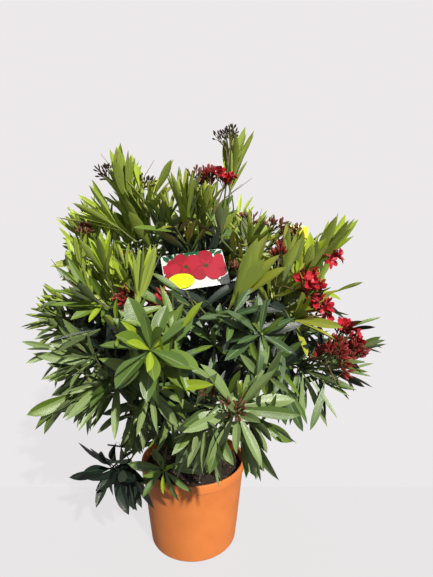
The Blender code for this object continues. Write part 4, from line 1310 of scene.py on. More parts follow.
YOUNG_FOLD, FOLD_FALL, FOLD_SPREAD = 0.8, 0.45, (-0.2, 0.25)
TONE_REACH, TONE_SPREAD = 3.8, 0.6
TILT_SPREAD, TURN_SPREAD, SWEEP_SPREAD, TWIST_SPREAD = 0.09, 0.34, 0.045, 0.28
ROLLED_SHARE, ROLLED_WIDTH, ROLLED_FOLD = 0.022, 0.22, 1.2
Habit = namedtuple("Habit", "open droop greens length width growth")


def leaf_at(station, back, bearing, habit, draw):
    """One leaf of a ring that is a distance behind its shoot's tip."""
    age = 1 - math.exp(-back / habit.growth)
    opening = 1 - math.exp(-back / habit.growth / OPENING_SHARE)
    outwards = sideways(station.heading, bearing)
    tilt = TIP_TILT + (math.radians(habit.open) - TIP_TILT) * opening + draw.gauss(0, TILT_SPREAD)
    heading = station.heading * math.cos(tilt) + outwards * math.sin(tilt)
    heading = (heading - UP * habit.droop * age).normalized()
    face = station.heading * 0.6 + UP * 0.4 - outwards * 0.2
    upper = (face - heading * face.dot(heading)).normalized()
    upper = Matrix.Rotation(draw.gauss(0, TURN_SPREAD), 3, heading) @ upper
    length = habit.length * (YOUNG_LENGTH + LENGTH_GAIN * age) * draw.uniform(*LENGTH_SPREAD)
    width = habit.width * (YOUNG_WIDTH + WIDTH_GAIN * age) * draw.uniform(*WIDTH_SPREAD)
    curl = (CURL * age * habit.open / WIDEST_OPEN) * draw.uniform(*CURL_SPREAD)
    fold = YOUNG_FOLD - FOLD_FALL * age + draw.uniform(*FOLD_SPREAD)
    place = min(4, max(0, round(age * TONE_REACH + draw.gauss(0, TONE_SPREAD))))
    tone = FAMILIES[habit.greens][place]
    # A rolled wisp takes the near-black green of painted shade.
    if draw.random() < ROLLED_SHARE:
        width, fold, tone = width * ROLLED_WIDTH, ROLLED_FOLD, "shade_green"
    return Leaf(station.centre + outwards * station.radius * 0.5, heading, upper, length, width, fold, curl,
                draw.gauss(0, SWEEP_SPREAD), draw.gauss(0, TWIST_SPREAD), tone)


def leaf_fits(lowest, leaf, walls, keeps_clear):
    """Whether a leaf keeps to its space, clear of everything, and out of the views kept open."""
    tip = leaf.foot + leaf.heading * leaf.length * 0.95 - leaf.upper * leaf.length * leaf.curl
    middle = leaf.foot + leaf.heading * leaf.length * 0.5 - leaf.upper * leaf.length * leaf.curl * 0.25
    side = leaf.heading.cross(leaf.upper) * leaf.width * 0.45
    if tip.z < lowest or not inside((tip,), walls, SPACE_SLACK):
        return False
    if not clear((tip, middle, middle + side, middle - side), 0.0015):
        return False
    for start, end in ((leaf.foot, middle), (middle, tip)):
        way = end - start
        if obstacles.ray_cast(start + way * 0.1, way.normalized(), way.length)[0] is not None:
            return False
    spots = (leaf.foot.lerp(middle, 0.5), middle, middle + side, middle - side, middle.lerp(tip, 0.5), tip)
    return not any(hides_label(spot) or in_sky_gap(spot) or keeps_clear and shades_spray(spot)
                   for spot in spots)


print("families of greens:", *FAMILIES)

# %% [markdown]
# The leaves of a shoot, ring by ring from its tip. A rosette's leaves open at once and face the light,
# while an upright spray keeps its leaves close to the stem.

# %% The leaves of one shoot
FIRST_WHORL = 0.0015
STRIDE_GROWTH = 1.32
LONGEST_STRIDE = 0.019
RING_SLANT, RING_SPREAD = 0.0012, 0.12
SHOOT_STEPS = 14
BARE_FOOT = 0.012
FACING_FALL, FACING_PULL = 0.06, 1.5
FACING = {
    "front_rosette": (-0.05, -1, 0.25), "front_low": (0.05, -1, 0.05), "middle_right": (0.25, -1, 0.15),
    "centre": (0, -1, 0.45), "left_low": (-0.5, -1, 0.1), "pot_left": (-0.15, -1, 0.15),
    "pot_front": (0.05, -1, 0.2),
}
FREELY = (0, 0, 0)


def turned_out(station, facing, back):
    """A station turned towards where its mass's rosettes face, most of all at the tip."""
    turn = Vector(facing).normalized() * math.exp(-back / FACING_FALL) * FACING_PULL
    return station._replace(heading=(station.heading + turn).normalized())


def leaves_along(course, leafy, stride, habit, facing, fits, draw):
    """The leaves of one shoot, ring by ring back from its tip."""
    carrier = walk(course, SHOOT_STEPS)
    reach = min(length_of(carrier) - BARE_FOOT, leafy)
    back = FIRST_WHORL
    turn = draw.uniform(0, math.tau)
    leaves = []
    while back < reach:
        for number in range(3):
            station = turned_out(place_along(carrier, back + number * RING_SLANT), facing, back)
            bearing = turn + math.tau * number / 3 + draw.gauss(0, RING_SPREAD)
            leaf = leaf_at(station, back, bearing, habit, draw)
            if fits(leaf):
                leaves.append(leaf)
        turn += math.pi / 3
        back += stride
        stride = min(stride * STRIDE_GROWTH, LONGEST_STRIDE)
    return leaves


print("masses whose rosettes are turned out:", len(FACING))

# %% [markdown]
# Mass by mass. Each mass says how wide its leaves open, and its leading shoot bears the longest. The
# twiglets inside bear leaves in the near-black green of painted shade, and only where the crown's heart is.
# Each mass's leaves are one piece, which stands for that mass's solid.

# %% Growing the leaves
LEAF_SIZES = {"lime": (0.118, 0.0215), "olive": (0.118, 0.0215), "fresh": (0.122, 0.0245),
              "grey": (0.132, 0.025), "deep": (0.118, 0.023), "inner": (0.118, 0.025)}
FIRST_STRIDE, WHORL_GROWTH = 0.006, 0.035
SPRAY_STRIDE, SPRAY_GROWTH, SPRAY_DROOP = 0.0045, 0.01, 0.04
LEADING, FOLLOWING, SMALL = 1.06, 0.96, 0.84
VIGOUR_SPREAD = (0.92, 1.06)
TWIGLET_LEAFY, INNER_LEAFY = 0.6, 0.07
BARE_SHOOTS = {"leader": 1}
LOWEST_TIP, LOWEST_OF_SPRAY = 0.345, 0.12
LOWEST_TIPS = {"pot_left": 0.13, "pot_front": 0.15, "left_hanging": 0.31, "front_low": 0.375,
               "middle_right": 0.372, "back_left_low": 0.29, "back_right_low": 0.29}
HEART = Vector((0.01, 0.01, 0.53))
HEART_REACH = Vector((0.3, 0.275, 0.235))


def grow_leaves(row, courses, leafy, greens_of, vigours, walls, draw):
    """The leaves of several shoots of a mass; the first shoot takes the first vigour."""
    lowest = LOWEST_TIPS.get(row.name, LOWEST_TIP)
    length, width = LEAF_SIZES[greens_of]
    leaves = []
    for number, course in enumerate(courses):
        vigour = vigours[min(number, len(vigours) - 1)] * draw.uniform(*VIGOUR_SPREAD)
        habit = Habit(row.open, row.droop, greens_of, length * vigour, width * vigour, WHORL_GROWTH)
        leaves += leaves_along(course, leafy, FIRST_STRIDE, habit, FACING.get(row.name, FREELY),
                               lambda leaf: leaf_fits(lowest, leaf, walls, True), draw)
    return leaves


def grow_spray(spray, course, draw):
    habit = Habit(spray.open, SPRAY_DROOP, spray.greens, spray.length, spray.width, SPRAY_GROWTH)
    leafy = FIRST_WHORL + SPRAY_STRIDE * (STRIDE_GROWTH ** (spray.rings - 0.5) - 1) / (STRIDE_GROWTH - 1)
    return leaves_along(course, leafy, SPRAY_STRIDE, habit, FREELY,
                        lambda leaf: leaf_fits(LOWEST_OF_SPRAY, leaf, [], False), draw)


def in_heart(leaf):
    """Whether a leaf stays in the shaded heart of the crown, behind the leaves that show."""
    tip = leaf.foot + leaf.heading * leaf.length - HEART
    return sum((tip[axis] / HEART_REACH[axis]) ** 2 for axis in range(3)) < 1


leaf_feet = []
for index, row in enumerate(MASSES):
    draw = random.Random(SEED * 100 + index)
    walls = walls_of(row.name)
    bearers = shoots[row.name][:len(shoots[row.name]) - BARE_SHOOTS.get(row.name, 0)]
    leaves = grow_leaves(row, bearers, row.leafy, row.greens, (LEADING, FOLLOWING), walls, draw)
    leaves += grow_leaves(row, twiglets[row.name], row.leafy * TWIGLET_LEAFY, row.greens, (SMALL,), walls,
                          draw)
    # The heart's leaves take the inner family: near-black, which is painted shade.
    inner = grow_leaves(row, inner_twiglets[row.name], INNER_LEAFY, "inner", (SMALL,), [], draw)
    leaves += [leaf for leaf in inner if in_heart(leaf)]
    for spray, course in zip(SPRAYS, spray_courses):
        if spray.mass == row.name:
            leaves += grow_spray(spray, course, draw)
    leaf_feet += [leaf.foot for leaf in leaves]
    slots = np.array([LEAF_SLOTS[leaf.tone] for leaf in leaves])
    add_piece("leaves_" + row.name, joined_mesh(LEAF, lay_leaves(leaves), slots, "leaf"), leaf_materials,
              "foliage", ["mass_" + row.name])
print("leaves:", len(leaf_feet))

# %% [markdown]
# Blossom. An oleander flowers in loose trusses: a thin stalk that forks two or three times and ends in
# slender furled buds, dark in the calyx and red at the tip. On this plant most are still in bud or already
# over, with a few crimson flowers open. A kind of truss is how many branches it has, how many buds each of
# them bears, how large, what share of them are open, and the slots of calyx and bud. A wisp is a bare dry
# stalk. A row places a truss: its mass, its kind, where its top is in millimetres, and its size.

# %% Where the trusses stand
Kind = namedtuple("Kind", "branches buds bud_size flowers slots")
KINDS = {
    "spent": Kind(7, 4, 0.58, 0, (2, 2)),
    "faded": Kind(7, 4, 0.72, 0, (2, 4)),
    "buds": Kind(7, 5, 0.95, 0, (0, 1)),
    "bloom": Kind(6, 4, 0.9, 0.2, (1, 3)),
    "wisp": Kind(0, 0, 0, 0, (2, 2)),
}
Truss = namedtuple("Truss", "mass kind top size")
TRUSSES = [Truss(mass, kind, metres(top), size) for mass, kind, top, size in (
    ("leader", "spent", (74, 0, 900), 1.7), ("leader", "spent", (85, -5, 914), 1),
    ("high_left", "spent", (-167, -50, 832), 1), ("high_left", "spent", (-87, -50, 813), 1),
    ("high_left", "wisp", (-176, -50, 875), 1), ("high_left", "wisp", (-70, -50, 863), 1),
    ("high_centre", "faded", (17, -80, 826), 0.8), ("high_centre", "buds", (42, -90, 825), 0.6),
    ("high_centre", "bloom", (71, -90, 813), 0.8), ("high_centre", "wisp", (129, -70, 830), 1),
    ("high_centre", "wisp", (106, -60, 816), 1), ("upper_left", "faded", (-208, -80, 721), 0.7),
    ("left_shoulder", "wisp", (-305, -60, 692), 1), ("left_edge", "wisp", (-293, -60, 649), 1),
    ("high_right", "faded", (122, -90, 730), 1.2), ("high_right", "faded", (162, -90, 722), 1.3),
    ("high_right", "faded", (191, -70, 713), 0.8), ("right_shoulder", "faded", (220, -50, 716), 0.7),
    ("high_right", "wisp", (146, -70, 768), 1), ("centre", "faded", (94, -180, 660), 0.5),
    ("right_front", "buds", (169, -160, 680), 0.8), ("right_shoulder", "bloom", (281, -60, 668), 0.8),
    ("right_shoulder", "wisp", (301, -70, 661), 1), ("right_front", "bloom", (226, -150, 632), 0.7),
    ("right_front", "bloom", (211, -190, 622), 0.9), ("right_front", "bloom", (246, -170, 589), 0.8),
    ("right_low", "bloom", (290, -140, 520), 1.1), ("right_low", "buds", (316, -130, 508), 1),
    ("right_low", "buds", (257, -170, 487), 1), ("right_low", "buds", (282, -170, 479), 1.1),
    ("right_low", "buds", (307, -160, 488), 1.1), ("right_low", "buds", (266, -190, 508), 1),
    ("left_shoulder", "buds", (-100, -200, 606), 0.7), ("left_shoulder", "bloom", (-50, -210, 606), 0.8),
    ("front_rosette", "buds", (-36, -235, 602), 0.9), ("front_low", "faded", (42, -310, 486), 0.9),
    ("front_low", "faded", (84, -345, 466), 0.8), ("left_low", "faded", (-198, -150, 492), 0.8),
    ("back_left", "bloom", (-200, 260, 630), 1), ("back_left", "buds", (-240, 200, 640), 1),
    ("back_top", "buds", (30, 190, 830), 1), ("back_middle", "spent", (10, 330, 600), 1),
    ("back_middle", "buds", (-50, 300, 590), 1), ("back_right", "bloom", (240, 220, 650), 1),
    ("back_right", "buds", (180, 240, 640), 1),
)]
print("trusses:", len(TRUSSES))

# %% [markdown]
# A bud is a ball drawn out to a spindle, and a petal is a small grid, broad past its middle, that the
# arithmetic bends outwards. Both are templates, laid like the leaves.

# %% Buds and petals as templates
Bud = namedtuple("Bud", "foot heading upper length width slots")
Petal = namedtuple("Petal", "foot heading upper length width curl twist")


def bud_template():
    bm = bmesh.new()
    bmesh.ops.create_uvsphere(bm, u_segments=6, v_segments=6, radius=1)
    for face in bm.faces:
        face.material_index = 0 if face.calc_center_median().z < -0.35 else 1
    return template_of(bm)


def petal_template():
    bm = bmesh.new()
    bmesh.ops.create_grid(bm, x_segments=4, y_segments=4, size=1)
    for vert in bm.verts:
        vert.co.y = (vert.co.y + 1) / 2
    return template_of(bm)


BUD = bud_template()
PETAL = petal_template()


def lay_buds(buds):
    foot, heading, upper, side = frame_of(buds)
    length, width = column(buds, "length", "width")
    x, y, z = (BUD.points[None, :, axis, None] for axis in range(3))
    along = (z + 1) / 2
    belly = 0.55 + 0.65 * np.sin(along * math.pi * 0.85)
    return foot + heading * length * along + (side * x + upper * y) * belly * width / 2


def lay_petals(petals):
    foot, heading, upper, side = frame_of(petals)
    length, width, curl, twist = column(petals, "length", "width", "curl", "twist")
    along = PETAL.points[None, :, 1, None]
    bulge = 0.16 + 0.84 * np.sin(along * math.pi * 0.78) ** 1.2
    across = PETAL.points[None, :, 0, None] * width / 2 * bulge
    turn = twist * along
    return (foot + heading * length * along - upper * length * curl * along**2
            + side * across * np.cos(turn) + upper * (across * np.sin(turn) + 0.22 * np.abs(across)))


print("bud and petal:", len(BUD.faces), "and", len(PETAL.faces), "faces")

# %% [markdown]
# Growing a truss: it rises from just below its shoot's tip and leans away from the leaves that have
# overtaken it. Its stalk forks into branches, and each branch ends in a few buds on short pedicels. Some
# buds of an open truss carry a flower of five petals, a little twisted like a propeller.

# %% Growing the trusses
STALK_REACH = 0.052
LONGEST_STALK = 0.105
STALK_BACKS = (0.006, 0.02, 0.035, 0.05)
STALK_RADIUS = 0.0012
STALK_ROOM = 0.003
BRANCH_LENGTH, BRANCH_SPLAY = 0.019, math.radians(44)
PEDICEL_LENGTH, PEDICEL_SPLAY = 0.006, math.radians(32)
BUD_LENGTH, BUD_WIDTH = 0.018, 0.0044
PETAL_LENGTH, PETAL_WIDTH, PETAL_SPLAY = 0.017, 0.0135, math.radians(62)
CALYX_DEPTH, EYE_RADIUS = 0.008, 0.002
FORK_ZONE = (0.004, 0.018)
FAN_SPLAYS, BRANCH_SPREAD, PEDICEL_SPREAD = (0.5, 1.15), (0.7, 1.2), (0.4, 1.3)
BUD_SPREAD, SLIMMEST_BUD = (0.7, 1.25), 0.7
PETAL_SPREAD, PETAL_CURLS, PETAL_TWISTS = (0.8, 1.1), (-0.1, 0.5), (0.3, 0.9)


def fan(way, count, splay, draw):
    """Headings spread round a way, evenly in bearing and a little uneven in splay."""
    first = draw.uniform(0, math.tau)
    for number in range(count):
        outwards = sideways(way, first + math.tau * number / count)
        angle = splay * draw.uniform(*FAN_SPLAYS)
        yield way * math.cos(angle) + outwards * math.sin(angle)


def stalk(start, heading, end, aim, foot_share, tip_share):
    """A stalk's course; its radii are shares of a truss's usual stalk."""
    return Course(start, heading, end, aim, 0, 1, STALK_RADIUS * foot_share, STALK_RADIUS * tip_share)


def open_flower(foot, way, draw):
    for heading in fan(way, 5, PETAL_SPLAY, draw):
        upper = (way - heading * way.dot(heading)).normalized()
        yield Petal(foot + way * CALYX_DEPTH + heading * EYE_RADIUS, heading, upper,
                    PETAL_LENGTH * draw.uniform(*PETAL_SPREAD), PETAL_WIDTH * draw.uniform(*PETAL_SPREAD),
                    draw.uniform(*PETAL_CURLS), draw.uniform(*PETAL_TWISTS))


def truss_foot(truss):
    """Where on its mass's shoots a truss rises from: the nearest place that leaves its stalk long enough."""
    top = Vector(truss.top)
    places = [place_along(walk(course, SHOOT_STEPS), back)
              for course in shoots[truss.mass] for back in STALK_BACKS]
    return min(places, key=lambda place: abs((place.centre - top).length - STALK_REACH))


def grow_buds(truss, foot, aim, draw):
    """The buds at a branch's end, each on its pedicel."""
    kind = KINDS[truss.kind]
    for way in fan(aim, kind.buds, PEDICEL_SPLAY, draw):
        base = foot + way * PEDICEL_LENGTH * truss.size * draw.uniform(*PEDICEL_SPREAD)
        stalks.append(stalk(foot, aim, base, way, 0.5, 0.5))
        size = kind.bud_size * draw.uniform(*BUD_SPREAD)
        buds.append(Bud(base, way, way.orthogonal().normalized(), BUD_LENGTH * size,
                        BUD_WIDTH * max(SLIMMEST_BUD, size), kind.slots))
        if draw.random() < kind.flowers:
            petals.extend(open_flower(base, way, draw))


def grow_truss(truss, draw):
    foot = truss_foot(truss)
    rise = Vector(truss.top) - foot.centre
    way = (rise.normalized() + UP * 0.3).normalized()
    top = foot.centre + rise * min(1, LONGEST_STALK / rise.length)
    if not clear((top, foot.centre.lerp(top, 0.6)), STALK_ROOM):
        print("no room for a truss of", truss.mass)
        return
    branches = KINDS[truss.kind].branches
    if not branches:
        stalks.append(stalk(foot.centre, foot.heading, top, rise.normalized(), 1, 0.3))
        return
    stalks.append(stalk(foot.centre, (foot.heading + rise.normalized()).normalized(), top, way, 1.25, 1))
    for branch_way in [way, *fan(way, branches - 1, BRANCH_SPLAY, draw)]:
        low = top - way * draw.uniform(*FORK_ZONE)
        end = low + branch_way * BRANCH_LENGTH * truss.size * draw.uniform(*BRANCH_SPREAD)
        if clear((end,), STALK_ROOM):
            aim = (branch_way + UP * 0.3).normalized()
            stalks.append(stalk(low, way, end, aim, 0.8, 0.6))
            grow_buds(truss, end, aim, draw)


stalks, buds, petals = [], [], []
draw = random.Random(SEED * 300)
for truss in TRUSSES:
    grow_truss(truss, draw)
print("blossom:", len(stalks), "stalks,", len(buds), "buds,", len(petals), "petals")

# %% [markdown]
# Now it is known what the twigs bear. Each is cut back to the last leaf, stalk or twig on it, so that no
# bare end stands out, and a twig that bears nothing goes.

# %% Twigs, cut back to what they bear
TWIG_RINGS, TWIG_SIDES = 9, 6
TWIG_STEPS = 16
BEARING_REACH = 0.005

twig_courses = [course for name in shoots for course in shoots[name] + twiglets[name] + inner_twiglets[name]]
twig_courses += spray_courses
borne = leaf_feet + [course.start for course in twig_courses + stalks]
bearing_tree = KDTree(len(borne))
for index, place in enumerate(borne):
    bearing_tree.insert(place, index)
bearing_tree.balance()


def pruned(course):
    """A twig as far as the last thing it bears, or None where it bears nothing."""
    stations = walk(course, TWIG_STEPS)
    for step in range(TWIG_STEPS, 1, -1):
        end = stations[step]
        if bearing_tree.find(end.centre)[2] < end.radius + BEARING_REACH:
            high = course.low + (course.high - course.low) * step / TWIG_STEPS
            return course._replace(high=high, tip_radius=end.radius)
    return None


twig_skin = grained_material("twig_skin", (0.085, 0.1, 0.03), (0.17, 0.2, 0.06), (0.45, 0.7), 150,
                             0.3, 0.0004, stretch=4)
kept_twigs = [twig for twig in map(pruned, twig_courses) if twig]
twig_runs = [walk(course, TWIG_RINGS - 1) for course in kept_twigs]
add_piece("twigs", tubes_mesh(twig_runs, TWIG_SIDES), [twig_skin], "bark")
print("twigs:", len(kept_twigs), "of", len(twig_courses))

# %% [markdown]
# Stalks, buds and petals are one piece each. A kind's two slots point into the bud materials here: the
# calyx and the bud of a young truss, the brown of a spent one, then the brighter and the faded red.

# %% Stalks, buds and petals
STALK_RINGS, STALK_SIDES = 5, 5

stalk_skin = grained_material("stalk_skin", (0.09, 0.045, 0.022), (0.16, 0.12, 0.04), (0.5, 0.7), 200,
                              0.2, 0.0003)
bud_materials = [base_material(name, colour, roughness) for name, colour, roughness in (
    ("calyx", (0.07, 0.016, 0.012), 0.5), ("bud_red", (0.215, 0.016, 0.013), 0.42),
    ("spent_brown", (0.028, 0.01, 0.008), 0.8), ("bud_bright", (0.3, 0.012, 0.018), 0.42),
    ("faded_red", (0.15, 0.042, 0.026), 0.6))]
crimson = base_material("crimson_petal", (0.47, 0.01, 0.024), 0.5)
stalk_runs = [walk(course, STALK_RINGS - 1) for course in stalks]
bud_slots = np.array([bud.slots for bud in buds])
petal_slots = np.zeros((len(petals), 1), int)
add_piece("truss_stalks", tubes_mesh(stalk_runs, STALK_SIDES), [stalk_skin], "foliage")
add_piece("truss_buds", joined_mesh(BUD, lay_buds(buds), bud_slots), bud_materials, "foliage")
add_piece("petals", joined_mesh(PETAL, lay_petals(petals), petal_slots), [crimson], "foliage")

# %% [markdown]
# The labels are plastic cards. A real one is thin and bows a little, so the card is a grid with rounded
# corners that is bowed across its width and given its thickness.

# %% The labels' cards
CARD_THICKNESS = 0.0008
CARD_BOW = 0.0035
CARD_CORNER = 0.006
CARD_FINISH = ((0.28, 0.4), 40, 0.05, 0.0002)


def bow(label, point, layer=0):
    """A point of the flat card, bowed: x is across, z is up and layer is how far it stands off the face."""
    share = point.x / (label.width / 2)
    return Vector((point.x, CARD_BOW * (share**2 - 0.5) - layer, point.z))


def card_mesh(label):
    bm = bmesh.new()
    bmesh.ops.create_grid(bm, x_segments=16, y_segments=10, size=0.5,
                          matrix=Matrix.Diagonal((label.width, label.height, 1, 1)))
    inner = Vector((label.width / 2 - CARD_CORNER, label.height / 2 - CARD_CORNER, 0))
    for vert in bm.verts:
        over = Vector((max(0, abs(vert.co.x) - inner.x), max(0, abs(vert.co.y) - inner.y), 0))
        if over.length > CARD_CORNER:
            trimmed = over * CARD_CORNER / over.length
            vert.co.x = math.copysign(inner.x + trimmed.x, vert.co.x)
            vert.co.y = math.copysign(inner.y + trimmed.y, vert.co.y)
        vert.co = bow(label, vert.co.xzy)
    bmesh.ops.recalc_face_normals(bm, faces=bm.faces)
    bmesh.ops.solidify(bm, geom=bm.faces[:], thickness=CARD_THICKNESS)
    bmesh.ops.recalc_face_normals(bm, faces=bm.faces)
    bmesh.ops.transform(bm, matrix=card_place(label), verts=bm.verts)
    return mesh_of(bm, 40)


card_white = grained_material("card_white", (0.56, 0.6, 0.56), (0.64, 0.67, 0.63), *CARD_FINISH)
card_yellow = grained_material("card_yellow", (0.78, 0.66, 0.02), (0.86, 0.76, 0.03), *CARD_FINISH)
add_piece("label_picture_card", card_mesh(LABEL_PICTURE), [card_white], "label",
          ["label_picture"])

# %% [markdown]
# The print is generic: plain five-petalled blossoms over leaves, a bare yellow spot and a bare white band.
# Each printed shape is a flat outline laid a hair above the card and bowed with it, so its edge stays
# crisp from near by.

# %% The picture's print
PRINT_LIFT = 0.00015
PRINT_MARGIN = 0.0015
BLOSSOMS = (  # the middle of each, its size and turn, and the layer it is printed in
    ((-0.04, 0.003), 0.024, 0.3, 3), ((0.044, 0.004), 0.026, 1.1, 3),
    ((-0.016, 0.007), 0.031, 0.7, 5), ((0.022, 0.004), 0.034, 0.2, 7),
)
PRINTED_OUT, PRINTED_LENGTH, PRINTED_WIDTH, PRINTED_EYE = 0.52, 0.56, 0.4, 0.15
SPOT = (-0.031, -0.024)
LEAF_INK, RED_INK, EYE_INK, YELLOW_INK, LIME_INK = 0, 1, 3, 4, 5


def print_shape(bm, centre, size, ink, layer, turn=0.0, pinch=0.0, sides=20):
    """A printed oval on the picture card. pinch draws its far end out to a point, as a petal has."""
    made = bmesh.ops.create_circle(bm, cap_ends=True, segments=sides, radius=1)["verts"]
    spin = Matrix.Rotation(turn, 2)
    edge = (LABEL_PICTURE.width / 2 - PRINT_MARGIN, LABEL_PICTURE.height / 2 - PRINT_MARGIN)
    for vert in made:
        spot = spin @ Vector((vert.co.x * size[0], vert.co.y * size[1] * (1 - pinch * max(0, vert.co.x))))
        x, z = (max(-edge[axis], min(edge[axis], spot[axis] + centre[axis])) for axis in (0, 1))
        vert.co = bow(LABEL_PICTURE, Vector((x, 0, z)), PRINT_LIFT * layer)
    for face in {face for vert in made for face in vert.link_faces}:
        face.material_index = ink


def print_blossom(bm, centre, size, turn, layer):
    """Five petals, brighter and deeper red by turns, round a dark eye."""
    for number in range(5):
        angle = turn + math.tau * number / 5
        place = (centre[0] + math.cos(angle) * size * PRINTED_OUT,
                 centre[1] + math.sin(angle) * size * PRINTED_OUT)
        shape = (size * PRINTED_LENGTH, size * PRINTED_WIDTH)
        print_shape(bm, place, shape, RED_INK + number % 2, layer, angle, -0.35)
    print_shape(bm, centre, (size * PRINTED_EYE, size * PRINTED_EYE), EYE_INK, layer + 1, sides=10)


def picture_print():
    bm = bmesh.new()
    print_shape(bm, (0.004, 0.01), (0.059, 0.031), LEAF_INK, 1, sides=28)
    for number in range(11):
        place = (-0.052 + 0.0105 * number, 0.033 + 0.004 * (number % 2))
        print_shape(bm, place, (0.012, 0.0042), LEAF_INK, 2, 2.1 - 0.16 * number, 0.8)
    for blossom in BLOSSOMS:
        print_blossom(bm, *blossom)
    print_shape(bm, SPOT, (0.0262, 0.0172), LIME_INK, 9, sides=28)
    print_shape(bm, SPOT, (0.025, 0.0162), YELLOW_INK, 10, sides=28)
    bmesh.ops.recalc_face_normals(bm, faces=bm.faces)
    bmesh.ops.transform(bm, matrix=card_place(LABEL_PICTURE), verts=bm.verts)
    return mesh_of(bm)


inks = [base_material("ink_" + name, colour, 0.32) for name, colour in (
    ("leaf_green", (0.01, 0.085, 0.04)), ("red", (0.4, 0.018, 0.036)),
    ("deep_red", (0.31, 0.012, 0.028)), ("eye", (0.06, 0.05, 0.015)),
    ("yellow", (0.93, 0.83, 0.01)), ("lime", (0.45, 0.56, 0.05)))]
add_piece("label_picture_print", picture_print(), inks, "label")
add_piece("label_yellow_card", card_mesh(LABEL_YELLOW), [card_yellow], "label",
          ["label_yellow"])

# %% [markdown]
# A strap holds each card: a thin rounded band that runs from the card's back to a sleeve round the bough.
# Sleeve and band are made on their own and joined.

# %% The labels' straps
SLEEVE_WALL = 0.0016
SLEEVE_HEIGHT = 0.008
STRAP_WIDTH = 0.007
STRAP_THICKNESS = 0.0018
STRAP_DROP = 0.3


def held_at(label):
    """Where a label's sleeve sits on its bough, just behind the bough's tip."""
    before, tip = walk(limb_courses["bough_" + label.bough], BOUGH_STEPS)[-2:]
    way = (tip.centre - before.centre).normalized()
    return Station(tip.centre - way * SLEEVE_HEIGHT, way, tip.radius)


def sleeve_ring(sleeve, bore):
    half = SLEEVE_HEIGHT / 2
    outer, eased = bore + SLEEVE_WALL, bore + SLEEVE_WALL * 0.7
    ring = spun([(bore, -half), (eased, -half), (outer, -half * 0.8), (outer, half * 0.8), (eased, half),
                 (bore, half)], 24)
    bmesh.ops.transform(ring, matrix=stood(sleeve.centre, sleeve.heading), verts=ring.verts)
    return ring


def strap_band(start, sleeve, bore):
    """A band from a place behind a card to the outside of its sleeve."""
    way = start - sleeve.centre
    outwards = (way - sleeve.heading * way.dot(sleeve.heading)).normalized()
    end = sleeve.centre + outwards * (bore + (SLEEVE_WALL + STRAP_THICKNESS) / 2)
    along = (end - start).normalized()
    flat = (outwards - along * outwards.dot(along)).normalized()
    place = Matrix((flat.cross(along), flat, along)).transposed().to_4x4()
    place.translation = (start + end) / 2
    band = bmesh.new()
    size = (STRAP_WIDTH, STRAP_THICKNESS, (end - start).length, 1)
    bmesh.ops.create_cube(band, size=1, matrix=Matrix.Diagonal(size))
    bmesh.ops.bevel(band, geom=band.edges[:], offset=STRAP_THICKNESS * 0.35, segments=2, profile=0.5,
                    affect="EDGES", material=-1)
    bmesh.ops.transform(band, matrix=place, verts=band.verts)
    return band


def strap_mesh(labels):
    bm = bmesh.new()
    for label in labels:
        sleeve = held_at(label)
        bore = sleeve.radius + GAP * 2
        start = card_place(label) @ Vector((0, 0, -label.height * STRAP_DROP))
        for part in (sleeve_ring(sleeve, bore), strap_band(start, sleeve, bore)):
            mesh = bpy.data.meshes.new("strap_part")
            part.to_mesh(mesh)
            part.free()
            bm.from_mesh(mesh)
            bpy.data.meshes.remove(mesh)
    return mesh_of(bm, 40)


add_piece("label_straps", strap_mesh((LABEL_PICTURE, LABEL_YELLOW)), [card_white], "label")

# %% [markdown]
# The stage: a plain pale floor, a pale backdrop of even light, one soft-edged key lamp from the upper
# right as on a bright day, and an even fill. Floor and backdrop each show the camera a paler tone than
# they give the plant, which keeps them pale where it shades them. None of this is part of the object.

# %% Floor, light and camera
FLOOR_HALF_WIDTH = 40
FLOOR_DROP = 0.0004
FLOOR_SEAM = 0.175
GLOW_FOR_PLANT, GLOW_FOR_CAMERA = 0.25, 1
KEY_WAY = Vector((0.4, -0.72, 0.66))
CAMERA_PITCH = math.radians(81)
RENDER_WIDTH, RENDER_HEIGHT = 433, 577
SENSOR = 36
LENS = SENSOR * RENDER_WIDTH / RENDER_HEIGHT


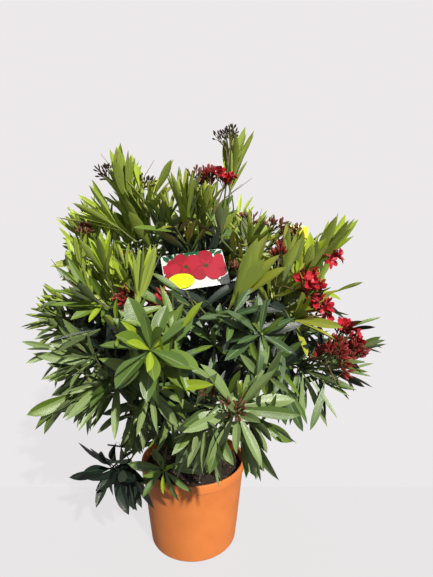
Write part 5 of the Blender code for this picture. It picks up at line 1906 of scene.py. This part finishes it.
def stage_plane(name, near, far, glow):
    """A stretch of floor that glows for the camera but gives the plant little light from below."""
    bm = bmesh.new()
    bmesh.ops.create_grid(bm, x_segments=1, y_segments=1, size=1)
    for vert in bm.verts:
        vert.co = Vector((vert.co.x * FLOOR_HALF_WIDTH, near if vert.co.y < 0 else far, -FLOOR_DROP))
    material = base_material(name, (0.06, 0.06, 0.06), 0.9, 0.0)
    tree = material.node_tree
    shader_of(material)["Emission Color"].default_value = (*glow, 1)
    for_camera = add_node(tree, "LightPath").outputs["Is Camera Ray"]
    strength = add_node(tree, "MapRange", {"Value": for_camera, "To Min": GLOW_FOR_PLANT,
                                           "To Max": GLOW_FOR_CAMERA}).outputs["Result"]
    tree.links.new(strength, shader_of(material)["Emission Strength"])
    mesh = mesh_of(bm)
    mesh.materials.append(material)
    put_in_scene(name, mesh)


def light_backdrop(tree):
    tree.nodes.clear()
    height = add_node(tree, "SeparateXYZ", {0: add_node(tree, "TexCoord").outputs["Generated"]}).outputs["Z"]
    level = add_node(tree, "MapRange", {"Value": height, "From Min": -1}).outputs["Result"]
    sky = colour_ramp(tree, level, (0.4, 0.85), ((0.07, 0.07, 0.07), (0.71, 0.72, 0.72)))
    given = add_node(tree, "Background", {"Color": sky, "Strength": 0.72}).outputs[0]
    seen = add_node(tree, "Background", {"Color": (0.845, 0.815, 0.825, 1)}).outputs[0]
    for_camera = add_node(tree, "LightPath").outputs["Is Camera Ray"]
    shown = add_node(tree, "MixShader", {0: for_camera, 1: given, 2: seen}).outputs[0]
    add_node(tree, "OutputWorld", {"Surface": shown})


stage_plane("floor_near", -12, FLOOR_SEAM, (0.728, 0.711, 0.717))
stage_plane("floor_far", FLOOR_SEAM, 60, (0.755, 0.735, 0.745))
world = bpy.data.worlds.new("studio")
bpy.context.scene.world = world
world.use_nodes = True
light_backdrop(world.node_tree)

key = bpy.data.lights.new("key", "SUN")
key.energy = 4.7
key.angle = math.radians(1.5)
key.color = (1.0, 0.97, 0.9)
put_in_scene("key", key).rotation_euler = KEY_WAY.to_track_quat("Z", "Y").to_euler()

camera = bpy.data.cameras.new("camera")
camera.sensor_width = SENSOR
camera.lens = LENS
eye = put_in_scene("camera", camera)
eye.location = ONLOOKER
eye.rotation_euler = (CAMERA_PITCH, 0, 0)
bpy.context.scene.camera = eye
bpy.context.scene.view_settings.view_transform = "Standard"
print("camera lens", round(LENS, 1), "mm, pitch", round(math.degrees(CAMERA_PITCH)), "degrees")
